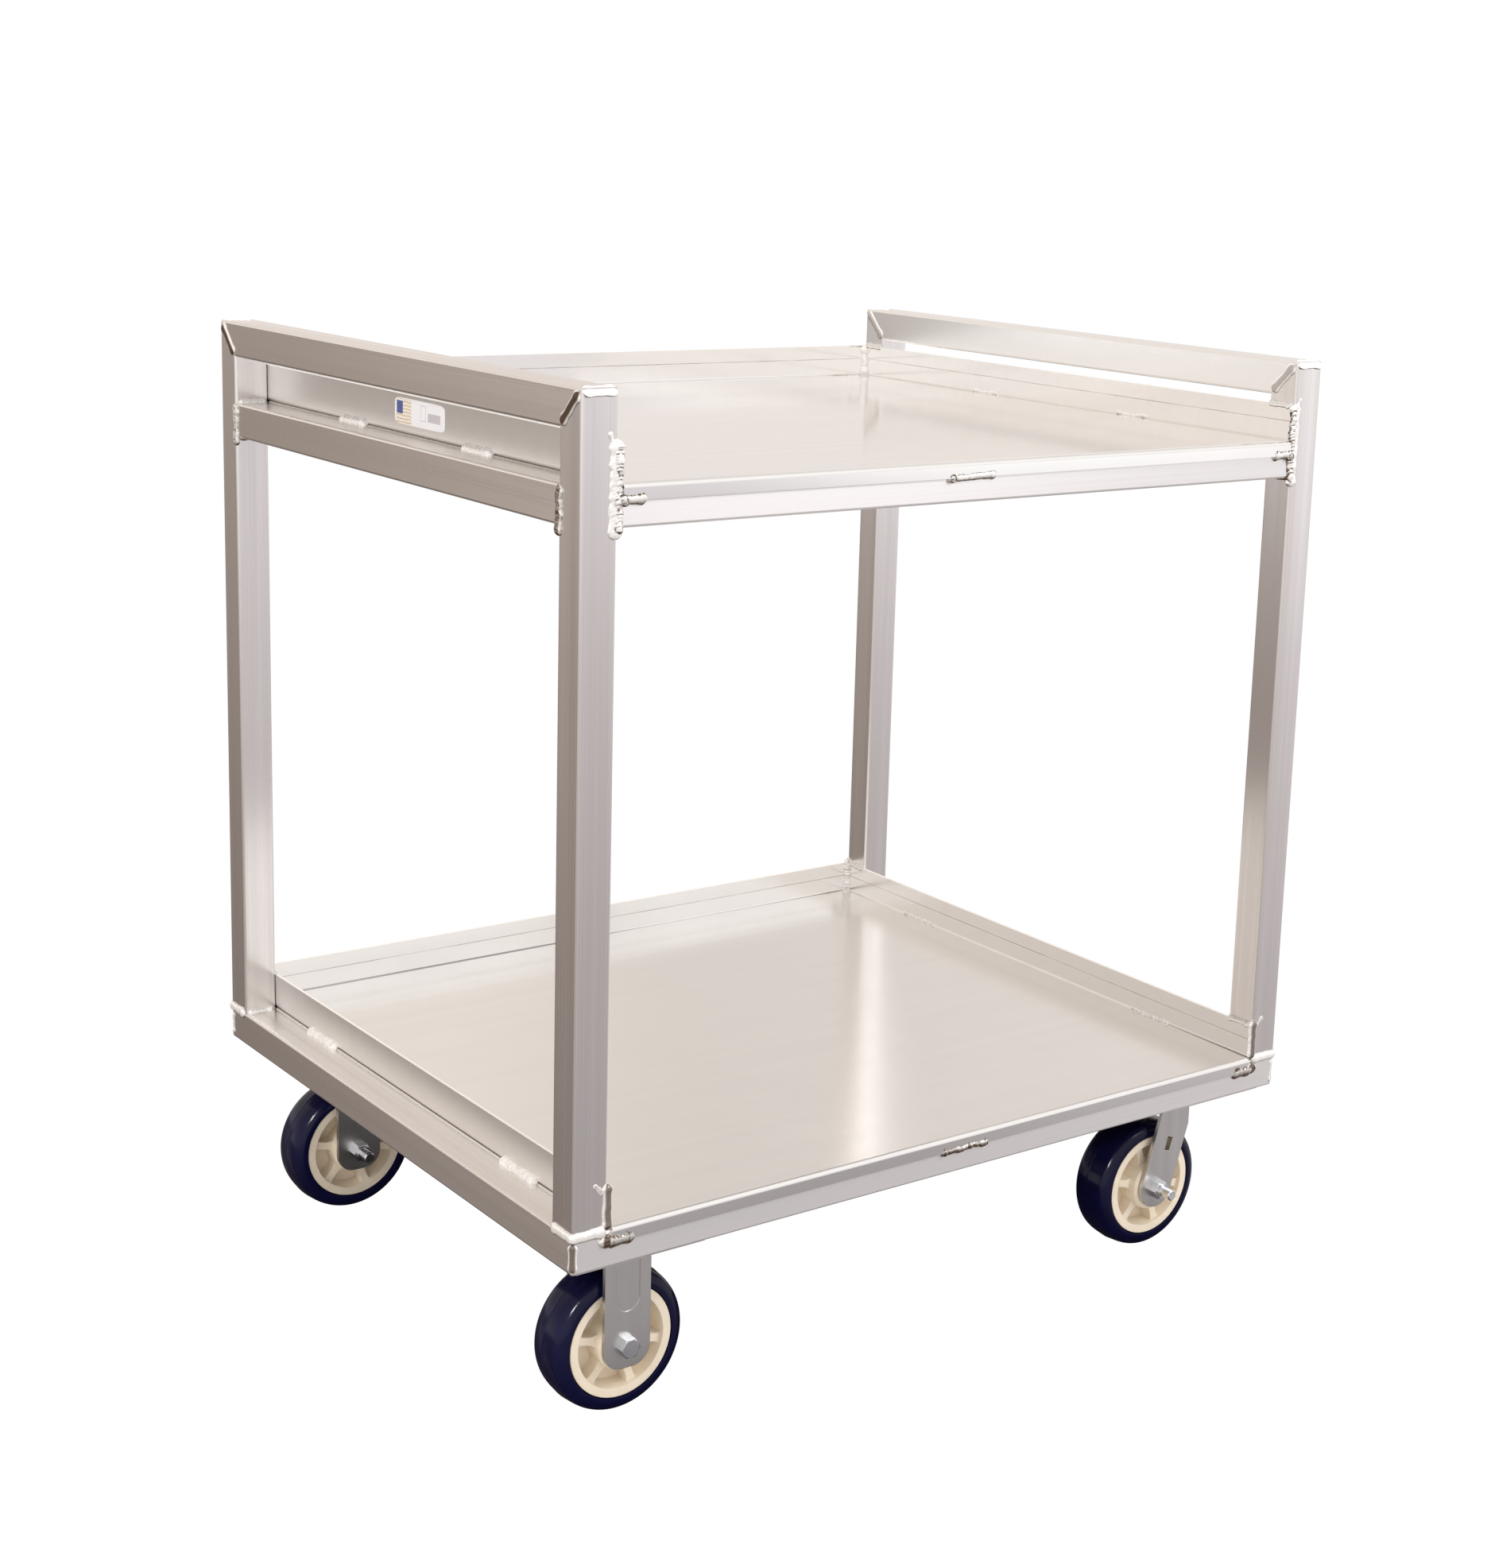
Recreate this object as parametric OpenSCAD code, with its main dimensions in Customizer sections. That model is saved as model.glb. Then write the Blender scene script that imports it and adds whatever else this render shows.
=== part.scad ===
// Two-shelf utility cart: a welded frame of square aluminium tube, two folded sheet pans,
// rigid casters at the left end and swivel casters at the right end.
// Millimetres. X runs along the cart, Y from the open front to the back, Z up from the floor.
// The origin lies on the floor, in the middle of the space that the cart takes up.

/* [Frame] */
// Length of the frame over the legs
cart_l = 940; // [640:10:1500]
// Depth of the frame over the legs
cart_w = 775; // [560:5:1000]
// Side of the square tube
tube = 38.1; // [34:0.1:45]
// Wall of the square tube
tube_wall = 3.2; // [1.6:0.1:5]
// Radius of the tube's outer edges
edge_r = 3; // [2.5:0.1:4]
// Height from the frame's underside to the top of the upper rails
shelf_h = 749; // [450:5:1000]
// Clear height between an upper end rail and the handle bar over it
hand_gap = 50.8; // [47:0.1:80]

/* [Pans] */
// Thickness of the pan sheet
pan_t = 3.2; // [1.6:0.1:4]
// Inside radius of the folds
fold_r = 2; // [1:0.1:2.5]
// Height of the upturned edges above the rails
flange_h = 41.3; // [25:0.1:44]
// Height of the lip folded down over the front rail
lip_h = 16; // [12:0.5:22]

/* [Casters] */
// Diameter of the wheel
wheel_d = 152; // [130:1:170]
// Width of the tread
tread_w = 50.8; // [40:0.1:52]
// Clear height between the wheel and the swivel fork's crown
wheel_clear = 18.7; // [9:0.1:30]
// Thickness of the tread at its middle
tread_t = 17.5; // [15.5:0.5:20]
// Thickness of the hub's rim under the tread
rim_t = 9; // [6:0.5:10]
// Number of ribs on each face of the hub
rib_count = 6; // [4:1:8]
// Width of a rib
rib_w = 8.5; // [4:0.5:10]
// Length of the hub along the axle
hub_len = 61; // [57:0.5:62]
// Clear width between the legs of a fork
fork_gap = 63.5; // [63:0.5:68]
// Thickness of the fork's pressed steel
fork_t = 4.8; // [3:0.1:5.5]
// Width of a rigid fork's leg
rigid_leg_w = 53; // [44:1:60]
// Width of a swivel fork's leg
swivel_leg_w = 46; // [38:1:50]
// Distance that the swivel axle trails behind the king pin
trail = 41; // [38:1:46]
// Diameter of the axle bolt
axle_d = 12.6; // [10:0.1:12.9]
// Distance of the rigid casters' middles from the left rail's inner face
rigid_inset = 60.9; // [54.6:0.1:90]
// Distance of the swivel casters' middles from the right rail's inner face
swivel_inset = 41.9; // [41.9:0.1:90]
// Distance of all casters' middles from the front and back rails' inner faces
side_inset = 54.6; // [54.6:0.1:90]
// Length of a caster's top plate, along the cart under the rigid casters and across it under the others
plate_l = 114; // [108:1:120]
// Width of a caster's top plate
plate_w = 102; // [100:1:112]
// Thickness of a caster's top plate
plate_t = 6; // [4:0.5:7]
// Thickness of the corner plates under the frame
corner_t = 6; // [4:0.5:8]

/* [Welds] */
// Height of a bead over flush faces
bead_h = 1.6; // [0.8:0.1:2.4]
// Width of a bead over flush faces
bead_w = 7; // [5:0.5:9]
// Leg of a bead laid in a corner
fillet_w = 5; // [3:0.5:7]
// Length of the stitches along the pans' upturned ends
stitch_len = 58; // [30:1:90]
// Share of the depth between the upper shelf's two end stitches
upper_stitch_share = 0.345; // [0.2:0.005:0.5]
// Share of the depth between the lower shelf's two end stitches
lower_stitch_share = 0.575; // [0.3:0.005:0.6]

/* [Hidden] */
$fn = 64;

// Margin by which a cutting shape passes the face that it cuts
over = 1;
// Running clearance on the radius
running = 0.05;
// Loose clearance on the radius of a bolt in its hole
loose = 0.1;

// Gap between the top plate and the crown of a swivel fork, which the balls bridge
crown_gap = 9;
// Height of a caster from the floor to the top of its plate
caster_h = wheel_d + wheel_clear + fork_t + crown_gap + plate_t;

// Frame levels and outer faces
frame_z = caster_h + corner_t;
base_z = frame_z + tube;
shelf_z = frame_z + shelf_h;
top_z = shelf_z + hand_gap + tube;
half_l = cart_l / 2;
half_w = cart_w / 2;
// The lip stands proud in front and the beads behind, so the frame lies a little back of the middle
frame_y = (pan_t - bead_h) / 2;

// Folds of the pans
fold_out = fold_r + pan_t;
pan_half_l = half_l - tube;

// Caster places
rigid_x = rigid_inset + tube - half_l;
swivel_x = half_l - tube - swivel_inset;
caster_y = half_w - tube - side_inset;
axle_z = wheel_d / 2;
plate_z = caster_h - plate_t;
plate_corner_r = 8;
bolt_edge_x = 11;
bolt_edge_y = 17.7;
bolt_gap_x = plate_l - 2 * bolt_edge_x;
bolt_gap_y = plate_w - 2 * bolt_edge_y;

// Radius of a bead over flush faces
bead_r = (bead_w * bead_w / 4 + bead_h * bead_h) / (2 * bead_h);

// Corner plates, measured from the frame's outer corner
corner_in = 12;
corner_margin = 3;
corner_cut = 12;
corner_bead_from = 30;
corner_bead_len = 80;

// Fasteners
mount_bolt_d = 9.5;
mount_head_af = 14.3;
mount_head_h = 6.2;
mount_nut_h = 8;
mount_end = 2;
axle_hex_af = 19;
axle_head_h = 8;
axle_nut_h = 14;
axle_end = 13;
axle_hex_face_r = 0.94 * axle_hex_af / 2;
axle_end_bevel = 1.2;
nut_hex_share = 0.7;
nut_collar_d = axle_hex_af - 2;
axle_hole_r = axle_d / 2 + loose;

// Wheel
hub_d = wheel_d - 2 * tread_t;
hub_w = tread_w - 1;
web_t = 9;
boss_r = 28;
boss_round = 4;
boss_round_step = 22.5;
rib_drop = 3.5;
rib_turn = 12;
// Spread of a rib's roots: the most, then pairs of the distance from the boss or the rim as a share
// of the rib's length and the share of the spread that is left there
rib_flare = 3.2;
boss_root = [[0.04, 0.55], [0.16, 0.2], [0.35, 0]];
rim_root = [[0.31, 0], [0.16, 0.2], [0.04, 0.6]];
rim_draft = 2.5;
sleeve_r = 9.5;
roller_r = 2.05;
roller_n = 12;
bearing_r = sleeve_r + 2 * roller_r + 2 * running;
bearing_inset = 3;
bearing_len = hub_len - 2 * bearing_inset;
cage_gap = 1.1;
cage_in = sleeve_r + cage_gap;
cage_out = bearing_r - cage_gap;
cage_end = 3;
roller_end = 0.3;
tread_edge_r = 14;
tread_crown_r = 75;

// Swivel head
king_r = 7.95;
ball_r = 4;
ball_n = 16;
ball_ring_r = 27.2;
race_drop = 5;
race_wall = 2;
ball_sink = 1;
crown_top_z = plate_z - crown_gap;
crown_z = crown_top_z - fork_t;
crown_bend_r = 5;
crown_rise = crown_top_z - axle_z;
blade_set = 10;
leg_rake = atan2(trail - blade_set, crown_rise);
ball_z = crown_top_z + ball_r - ball_sink;
skirt_r = 40;
skirt_t = 3.5;
skirt_gap = 1.5;
king_gap = 0.3;
king_washer_t = 2.5;
king_washer_r = 14;
king_nut_h = 7;
king_hex_af = 24;
swivel_end_r = swivel_leg_w / 2;
slot_w = 8;
slot_h = 16;
slot_up = 53.5;
shoulder_h = 29;

// Forks, to the inside and the outside of a leg
leg_in = fork_gap / 2;
leg_out = leg_in + fork_t;

// Rigid fork
rigid_end_r = 20;
rigid_end_drop = 23;
rigid_bend_r = 8;
pocket_w = 28;
pocket_depth = 0.9;
pocket_up = 37;

// Helpers

// Square with round corners, from exact circles
module round_square(w, h, r) {
    square([w - 2 * r, h], center = true);
    square([w, h - 2 * r], center = true);
    for (sx = [-1, 1], sy = [-1, 1])
        translate([sx * (w / 2 - r), sy * (h / 2 - r)]) circle(r);
}

// Section of the square tube
module tube_section() {
    difference() {
        round_square(tube, tube, edge_r);
        square(tube - 2 * tube_wall, center = true);
    }
}

// Carries a shape drawn in Y and Z from x0 to x1
module along_x(x0, x1) {
    translate([x0, 0, 0]) rotate([90, 0, 90]) linear_extrude(x1 - x0) children();
}

// Carries a shape drawn in X and Z from y0 to y1
module along_y(y0, y1) {
    translate([0, y1, 0]) rotate([90, 0, 0]) linear_extrude(y1 - y0) children();
}

// Carries a shape drawn in X and Y from z0 to z1
module along_z(z0, z1) {
    translate([0, 0, z0]) linear_extrude(z1 - z0) children();
}

// Copies for the other end or the other side
module at_end(right) {
    mirror([right ? 1 : 0, 0, 0]) children();
}

module at_side(back) {
    mirror([0, back ? 1 : 0, 0]) children();
}

// Moves the frame from its own middle to the middle of the whole cart
module in_frame() {
    translate([0, frame_y, 0]) children();
}

module hexagon(af) {
    circle(d = af / cos(30), $fn = 6);
}

// Frame tubes, each drawn for the front left and mirrored

// Triangle over the 45 degree cut of a leg's top, in Y and Z
module leg_mitre() {
    polygon([[-half_w - over, top_z + over], [-half_w + tube + over, top_z - tube - over],
             [-half_w + tube + over, top_z + over]]);
}

module leg(right, back) {
    color("silver") in_frame() at_end(right) at_side(back) difference() {
        translate([-half_l + tube / 2, -half_w + tube / 2, base_z])
            linear_extrude(top_z - base_z) tube_section();
        along_x(-half_l - over, -half_l + tube + over) leg_mitre();
    }
}

// Triangle outside the 45 degree cut of the handle bar's end, in Y and Z
module handle_mitre() {
    polygon([[-half_w - over, top_z + over], [-half_w + tube + over, top_z - tube - over],
             [-half_w - over, top_z - tube - over]]);
}

module handle(right) {
    color("silver") in_frame() at_end(right) difference() {
        translate([-half_l + tube / 2, 0, top_z - tube / 2])
            along_y(-half_w, half_w) tube_section();
        for (back = [false, true])
            at_side(back) along_x(-half_l - over, -half_l + tube + over) handle_mitre();
    }
}

module upper_rail_long(back) {
    color("silver") in_frame() at_side(back)
        translate([0, -half_w + tube / 2, shelf_z - tube / 2])
            along_x(-pan_half_l, pan_half_l) tube_section();
}

module upper_rail_end(right) {
    color("silver") in_frame() at_end(right)
        translate([-half_l + tube / 2, 0, shelf_z - tube / 2])
            along_y(-half_w + tube, half_w - tube) tube_section();
}

// Groove cut along a base corner's upright edge, which the corner weld fills
module corner_groove() {
    along_z(frame_z - over, base_z + over)
        translate([-half_l - over, -half_w - over]) square(edge_r + over);
}

module base_rail_long(back) {
    color("silver") in_frame() at_side(back) difference() {
        translate([0, -half_w + tube / 2, frame_z + tube / 2])
            along_x(-half_l, half_l) tube_section();
        for (right = [false, true]) at_end(right) {
            along_z(frame_z - over, base_z + over)
                polygon([[-half_l - over, -half_w - over], [-half_l + tube + over, -half_w + tube + over],
                         [-half_l - over, -half_w + tube + over]]);
            corner_groove();
        }
    }
}

module base_rail_end(right) {
    color("silver") in_frame() at_end(right) difference() {
        translate([-half_l + tube / 2, 0, frame_z + tube / 2])
            along_y(-half_w, half_w) tube_section();
        for (back = [false, true]) at_side(back) {
            along_z(frame_z - over, base_z + over)
                polygon([[-half_l - over, -half_w - over], [-half_l + tube + over, -half_w + tube + over],
                         [-half_l + tube + over, -half_w - over]]);
            corner_groove();
        }
    }
}

// Sheet pans, drawn on rails whose tops are at height 0

// Quarter ring of a fold, with its middle at the origin, open towards +X and +Y
module fold_ring() {
    intersection() {
        difference() {
            circle(fold_out);
            circle(fold_r);
        }
        translate([-fold_out - over, -fold_out - over]) square(fold_out + over);
    }
}

// Section across the cart's length: floor with both ends folded up
module pan_end_section() {
    translate([-pan_half_l + fold_out, 0]) square([2 * (pan_half_l - fold_out), pan_t]);
    for (right = [0, 1]) mirror([right, 0]) {
        translate([-pan_half_l + fold_out, fold_out]) fold_ring();
        translate([-pan_half_l, fold_out]) square([pan_t, flange_h - fold_out]);
    }
}

// Section across the cart's depth: front lip folded down, back folded up
module pan_side_section() {
    translate([-half_w + fold_r, 0]) square([cart_w - fold_r - fold_out, pan_t]);
    translate([half_w - fold_out, fold_out]) mirror([1, 0]) fold_ring();
    translate([half_w - pan_t, fold_out]) square([pan_t, flange_h - fold_out]);
    translate([-half_w + fold_r, -fold_r]) mirror([0, 1]) fold_ring();
    translate([-half_w - pan_t, pan_t - lip_h]) square([pan_t, lip_h - pan_t - fold_r]);
}

module pan(z) {
    color("gainsboro") in_frame() translate([0, 0, z]) {
        along_y(-half_w, half_w - fold_out) pan_end_section();
        along_x(-pan_half_l + fold_out, pan_half_l - fold_out) pan_side_section();
    }
}

// Weld beads

// Bead over flush faces, along +X, standing up from Z = 0
module seam_bead(len) {
    translate([0, 0, bead_h - bead_r]) rotate([0, 90, 0]) intersection() {
        cylinder(r = bead_r, h = len);
        translate([-bead_r - over, -bead_r, 0]) cube([bead_h + over, 2 * bead_r, len]);
    }
}

// What a bead fills beside a round tube edge that ends at Y = 0
module edge_fill(len, r) {
    difference() {
        translate([0, -r, -r]) cube([len, r, r]);
        translate([-over, -r, -r]) rotate([0, 90, 0]) cylinder(r = r, h = len + 2 * over);
    }
}

module groove_bead(len) {
    seam_bead(len);
    edge_fill(len, edge_r);
}

// Bead in a corner, along +X, between the faces Y = 0 and Z = 0
module fillet_bead(len, w = fillet_w) {
    intersection() {
        rotate([0, 90, 0]) cylinder(r = w, h = len);
        cube([len, w, w]);
    }
}

// Upright bead on the frame's front face, from z0 to z1, right of a round edge
module front_bead(x, z0, z1) {
    translate([x, -half_w, z0]) rotate([90, -90, 0]) mirror([0, 1, 0]) groove_bead(z1 - z0);
}

// Upright bead on the frame's end face, from z0 to z1, behind a round edge
module end_bead(y, z0, z1) {
    translate([-half_l, y, z0]) rotate([0, -90, 0]) groove_bead(z1 - z0);
}

// Bead along the top of the pan's upturned end, against the leg
module flange_top_bead(z) {
    translate([-pan_half_l, -half_w + tube, z + flange_h]) rotate([0, 0, -90])
        fillet_bead(tube - edge_r, pan_t);
}

// Short bead under the end of the front lip
module lip_end_bead(z) {
    translate([-pan_half_l + fold_out, -half_w, z + pan_t - lip_h]) mirror([0, 1, 0]) mirror([0, 0, 1])
        fillet_bead(stitch_len / 2, pan_t);
}

// Bead that closes the pan's back corner, outside and inside the fold
module back_corner_bead(z) {
    top = z + flange_h - bead_h;
    along_z(z, top) translate([-pan_half_l, half_w - fold_out]) square(fold_out);
    along_z(z + fold_out + fold_r, top) {
        translate([-pan_half_l + pan_t, half_w - fold_out - fold_r]) square(2 * fold_r);
        intersection() {
            translate([-pan_half_l + pan_t, half_w - pan_t]) circle(fillet_w + fold_r);
            translate([-pan_half_l + pan_t, half_w - pan_t - fillet_w - fold_r]) square(fillet_w + fold_r);
        }
    }
}

// Stitches of one shelf: two at each end's fold and one in the middle of the front lip
module stitches(z, share) {
    for (right = [false, true], side = [-1, 1])
        at_end(right) translate([-pan_half_l, side * share * half_w + stitch_len / 2, z])
            rotate([0, 0, -90]) mirror([0, 1, 0]) {
                fillet_bead(stitch_len);
                mirror([0, 0, 1]) edge_fill(stitch_len, fold_out);
            }
    translate([-stitch_len / 2, -half_w, z + pan_t - lip_h]) mirror([0, 1, 0]) mirror([0, 0, 1])
        fillet_bead(stitch_len, pan_t);
}

module upper_welds() {
    color("gray") in_frame() {
        for (right = [false, true]) at_end(right) {
            lip_end_bead(shelf_z);
            back_corner_bead(shelf_z);
            for (back = [false, true]) at_side(back) {
                flange_top_bead(shelf_z);
                // End rail to leg: outer face, top and bottom
                end_bead(-half_w + tube, shelf_z - tube + edge_r, shelf_z - edge_r);
                for (under = [0, 1])
                    translate([-half_l + edge_r, -half_w + tube, shelf_z - under * tube])
                        mirror([0, 0, under]) fillet_bead(tube - 2 * edge_r);
                // Front or back rail and pan to leg: outer face and underside
                front_bead(-pan_half_l, shelf_z - tube + edge_r, shelf_z - edge_r);
                front_bead(-pan_half_l, shelf_z, shelf_z + flange_h);
                translate([-pan_half_l, -half_w + tube - edge_r, shelf_z - tube]) rotate([0, 0, -90])
                    mirror([0, 0, 1]) fillet_bead(tube - 2 * edge_r);
            }
        }
        stitches(shelf_z, upper_stitch_share);
    }
}

module lower_welds() {
    color("gray") in_frame() {
        for (right = [false, true]) at_end(right) {
            lip_end_bead(base_z);
            back_corner_bead(base_z);
            for (back = [false, true]) at_side(back) {
                flange_top_bead(base_z);
                front_bead(-pan_half_l, base_z, base_z + flange_h);
                // Round the foot of the leg
                translate([-half_l + edge_r, -half_w, base_z]) rotate([90, 0, 0])
                    groove_bead(tube - edge_r);
                translate([-half_l, -half_w + tube, base_z]) rotate([90, 0, -90])
                    groove_bead(tube - edge_r);
                translate([-half_l + edge_r, -half_w + edge_r, base_z]) foot_corner_bead();
                translate([-half_l + edge_r, -half_w + tube, base_z])
                    fillet_bead(tube - 2 * edge_r);
                // Upright edge of the mitred corner
                along_z(frame_z + edge_r, base_z - edge_r) intersection() {
                    translate([-half_l + edge_r, -half_w + edge_r]) circle(edge_r);
                    translate([-half_l, -half_w]) square(edge_r);
                }
                corner_plate_beads();
            }
        }
        stitches(base_z, lower_stitch_share);
    }
}

// Where the two beads round the foot of a leg meet
module foot_corner_bead() {
    reach = edge_r + bead_h;
    difference() {
        intersection() {
            sphere(reach);
            translate([-reach, -reach, -reach]) cube([reach, reach, 2 * reach]);
        }
        translate([0, 0, -over]) cylinder(r = edge_r, h = reach + 2 * over);
        translate([-edge_r, -edge_r, -reach - over]) cube([edge_r, edge_r, reach + over]);
    }
}

// Beads along the corner plate's two outer edges, under the frame
module corner_plate_beads() {
    for (turn = [0, 1])
        translate([-half_l + corner_in, -half_w + corner_in, frame_z])
            rotate([0, 0, turn * 90]) mirror([0, 1 - turn, 0]) mirror([0, 0, 1])
                translate([corner_bead_from, 0, 0]) fillet_bead(corner_bead_len, corner_t - over);
}

// Beads over the mitres of the upside-down U, on its outer and inner face
module handle_welds() {
    mitre_len = tube * sqrt(2);
    color("gray") in_frame()
        for (right = [false, true], back = [false, true]) at_end(right) at_side(back)
            for (inner = [0, 1])
                translate([-half_l + tube / 2, -half_w, top_z]) mirror([inner, 0, 0])
                    translate([-tube / 2, 0, 0]) rotate([0, -90, 0]) rotate([0, 0, 135])
                        translate([edge_r, 0, 0]) seam_bead(mitre_len - 2 * edge_r);
}

// Corner plates and their bolts, drawn for the front left

module corner_plate(right, back) {
    in_x = tube + (right ? swivel_inset : rigid_inset);
    in_y = tube + side_inset;
    out_x = in_x + (right ? plate_w : plate_l) / 2 + corner_margin;
    out_y = in_y + (right ? plate_l : plate_w) / 2 + corner_margin;
    color("lightgray") in_frame() at_end(right) at_side(back)
        along_z(caster_h, frame_z) translate([-half_l, -half_w]) difference() {
            polygon([
                [corner_in, corner_in], [out_x, corner_in], [out_x, out_y - corner_cut],
                [out_x - corner_cut, out_y], [corner_in, out_y]]);
            translate([in_x, in_y]) plate_turn(right) plate_holes();
        }
}

// Caster plates lie along the cart at the left end and across it at the right end
module plate_turn(right) {
    rotate([0, 0, right ? 90 : 0]) children();
}

module plate_holes() {
    for (sx = [-1, 1], sy = [-1, 1])
        translate([sx * bolt_gap_x / 2, sy * bolt_gap_y / 2]) circle(mount_bolt_d / 2 + loose);
}

// Places each child at the four bolts of each caster
module at_plate_bolts() {
    in_frame() for (right = [false, true], side = [-1, 1])
        translate([right ? swivel_x : rigid_x, side * caster_y, 0]) plate_turn(right)
            for (sx = [-1, 1], sy = [-1, 1])
                translate([sx * bolt_gap_x / 2, sy * bolt_gap_y / 2, 0]) children();
}

module caster_bolts() {
    color("silver") at_plate_bolts() {
        along_z(plate_z - over, frame_z + mount_nut_h + mount_end) circle(d = mount_bolt_d);
        along_z(plate_z - mount_head_h, plate_z) hexagon(mount_head_af);
    }
}

module caster_nuts() {
    color("silver") at_plate_bolts()
        along_z(frame_z, frame_z + mount_nut_h) difference() {
            hexagon(mount_head_af);
            circle(mount_bolt_d / 2 + running);
        }
}

// Casters, drawn about the upright line through the middle of the plate

module top_plate_outline() {
    difference() {
        round_square(plate_l, plate_w, plate_corner_r);
        plate_holes();
    }
}

// A fork is one sheet pressed to a channel: its section in Y and Z, from the floor up
module arch(half, top, r) {
    translate([-half, 0]) square([2 * half, top - r]);
    translate([-half + r, 0]) square([2 * (half - r), top]);
    for (s = [-1, 1]) translate([s * (half - r), top - r]) circle(r);
}

module channel_section(top, bend_r) {
    difference() {
        arch(leg_out, top, bend_r + fork_t);
        arch(leg_in, top - fork_t, bend_r);
    }
}

// Rigid fork: straight legs with round lower corners, spot welded under the top plate
module rigid_leg_outline() {
    half = rigid_leg_w / 2;
    foot_z = axle_z - rigid_end_drop;
    difference() {
        union() {
            translate([-half, foot_z + rigid_end_r])
                square([2 * half, plate_z + over - foot_z - rigid_end_r]);
            translate([-half + rigid_end_r, foot_z]) square([2 * (half - rigid_end_r), rigid_end_r + over]);
            for (s = [-1, 1]) translate([s * (half - rigid_end_r), foot_z + rigid_end_r]) circle(rigid_end_r);
        }
        translate([0, axle_z]) circle(axle_hole_r);
    }
}

// Pocket pressed into the leg's outer face, round at its foot
module pocket_outline() {
    pocket_z = axle_z + pocket_up + pocket_w / 2;
    translate([0, pocket_z]) circle(d = pocket_w);
    translate([-pocket_w / 2, pocket_z])
        square([pocket_w, plate_z - fork_t - rigid_bend_r - pocket_z]);
}

module rigid_fork(back) {
    color("darkgray") at_rigid(back) {
        along_z(plate_z, caster_h) top_plate_outline();
        difference() {
            intersection() {
                along_x(-rigid_leg_w / 2, rigid_leg_w / 2) channel_section(plate_z + over, rigid_bend_r);
                along_y(-leg_out, leg_out) rigid_leg_outline();
            }
            for (side = [0, 1]) mirror([0, side, 0])
                along_y(leg_out - pocket_depth, leg_out + over) pocket_outline();
        }
    }
}

module at_rigid(back) {
    in_frame() translate([rigid_x, (back ? 1 : -1) * caster_y, 0]) children();
}

module at_swivel(back) {
    in_frame() translate([swivel_x, (back ? 1 : -1) * caster_y, 0]) children();
}

// Swivel fork: raked legs that spread into the crown under the ball race

// The blade's edge at a height over the axle, on one side
function blade_x(rise, side) = rise * tan(leg_rake) + side * swivel_leg_w / 2 / cos(leg_rake);

// Outline about the axle: round foot, raked blade, and an upright shoulder in front
module swivel_leg_outline() {
    foot_rise = swivel_leg_w / 2 * sin(leg_rake);
    shoulder_rise = crown_rise - shoulder_h;
    difference() {
        union() {
            circle(swivel_end_r);
            polygon([
                [blade_x(foot_rise, -1), foot_rise], [blade_x(-foot_rise, 1), -foot_rise],
                [blade_x(shoulder_rise, 1), shoulder_rise], [blade_x(shoulder_rise, 1), crown_rise],
                [blade_x(crown_rise, -1), crown_rise]]);
        }
        circle(axle_hole_r);
        rotate(-leg_rake) translate([-slot_w / 2, slot_up - slot_h / 2]) square([slot_w, slot_h]);
    }
}

module swivel_fork(back) {
    color("darkgray") at_swivel(back) difference() {
        union() {
            intersection() {
                along_x(-2 * trail, trail) channel_section(crown_top_z, crown_bend_r);
                translate([-trail, 0, axle_z]) along_y(-leg_out, leg_out) swivel_leg_outline();
            }
            // Round crown with the skirt that shields the balls
            along_z(crown_z, crown_top_z) circle(skirt_r);
            along_z(crown_top_z - over, plate_z - skirt_gap) difference() {
                circle(skirt_r);
                circle(skirt_r - skirt_t);
            }
        }
        along_z(crown_z - over, crown_top_z + over) circle(king_r + running);
        translate([0, 0, ball_z]) rotate_extrude() translate([ball_ring_r, 0]) circle(ball_r + running);
    }
}

// Top plate of the swivel head, with the upper race standing down from it
module top_plate(back) {
    color("darkgray") at_swivel(back) difference() {
        union() {
            along_z(plate_z, caster_h) plate_turn(true) top_plate_outline();
            along_z(plate_z - race_drop, plate_z + over) difference() {
                circle(ball_ring_r + ball_r + race_wall);
                circle(ball_ring_r - ball_r - race_wall);
            }
        }
        along_z(plate_z - over, caster_h + over) circle(king_r);
        translate([0, 0, ball_z]) rotate_extrude() translate([ball_ring_r, 0]) circle(ball_r + running);
    }
}

// King pin: flush at the top of the plate, with a washer and nut under the crown
module king_pin(back) {
    washer_z = crown_z - king_gap - king_washer_t;
    color("silver") at_swivel(back) {
        along_z(washer_z - king_nut_h, caster_h) circle(king_r);
        along_z(washer_z, washer_z + king_washer_t) circle(king_washer_r);
        along_z(washer_z - king_nut_h, washer_z) hexagon(king_hex_af);
    }
}

module ball_ring(back) {
    color("silver") at_swivel(back) for (i = [0 : ball_n - 1])
        rotate(i * 360 / ball_n) translate([ball_ring_r, 0, ball_z]) sphere(ball_r, $fn = 32);
}

// Wheels, drawn about the axle, which runs along Y

module at_axle(right, back) {
    in_frame() translate([right ? swivel_x - trail : rigid_x, (back ? 1 : -1) * caster_y, axle_z])
        children();
}

// Turns a profile of radius against width about the axle
module turned() {
    rotate([90, 0, 0]) rotate_extrude() children();
}

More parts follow.
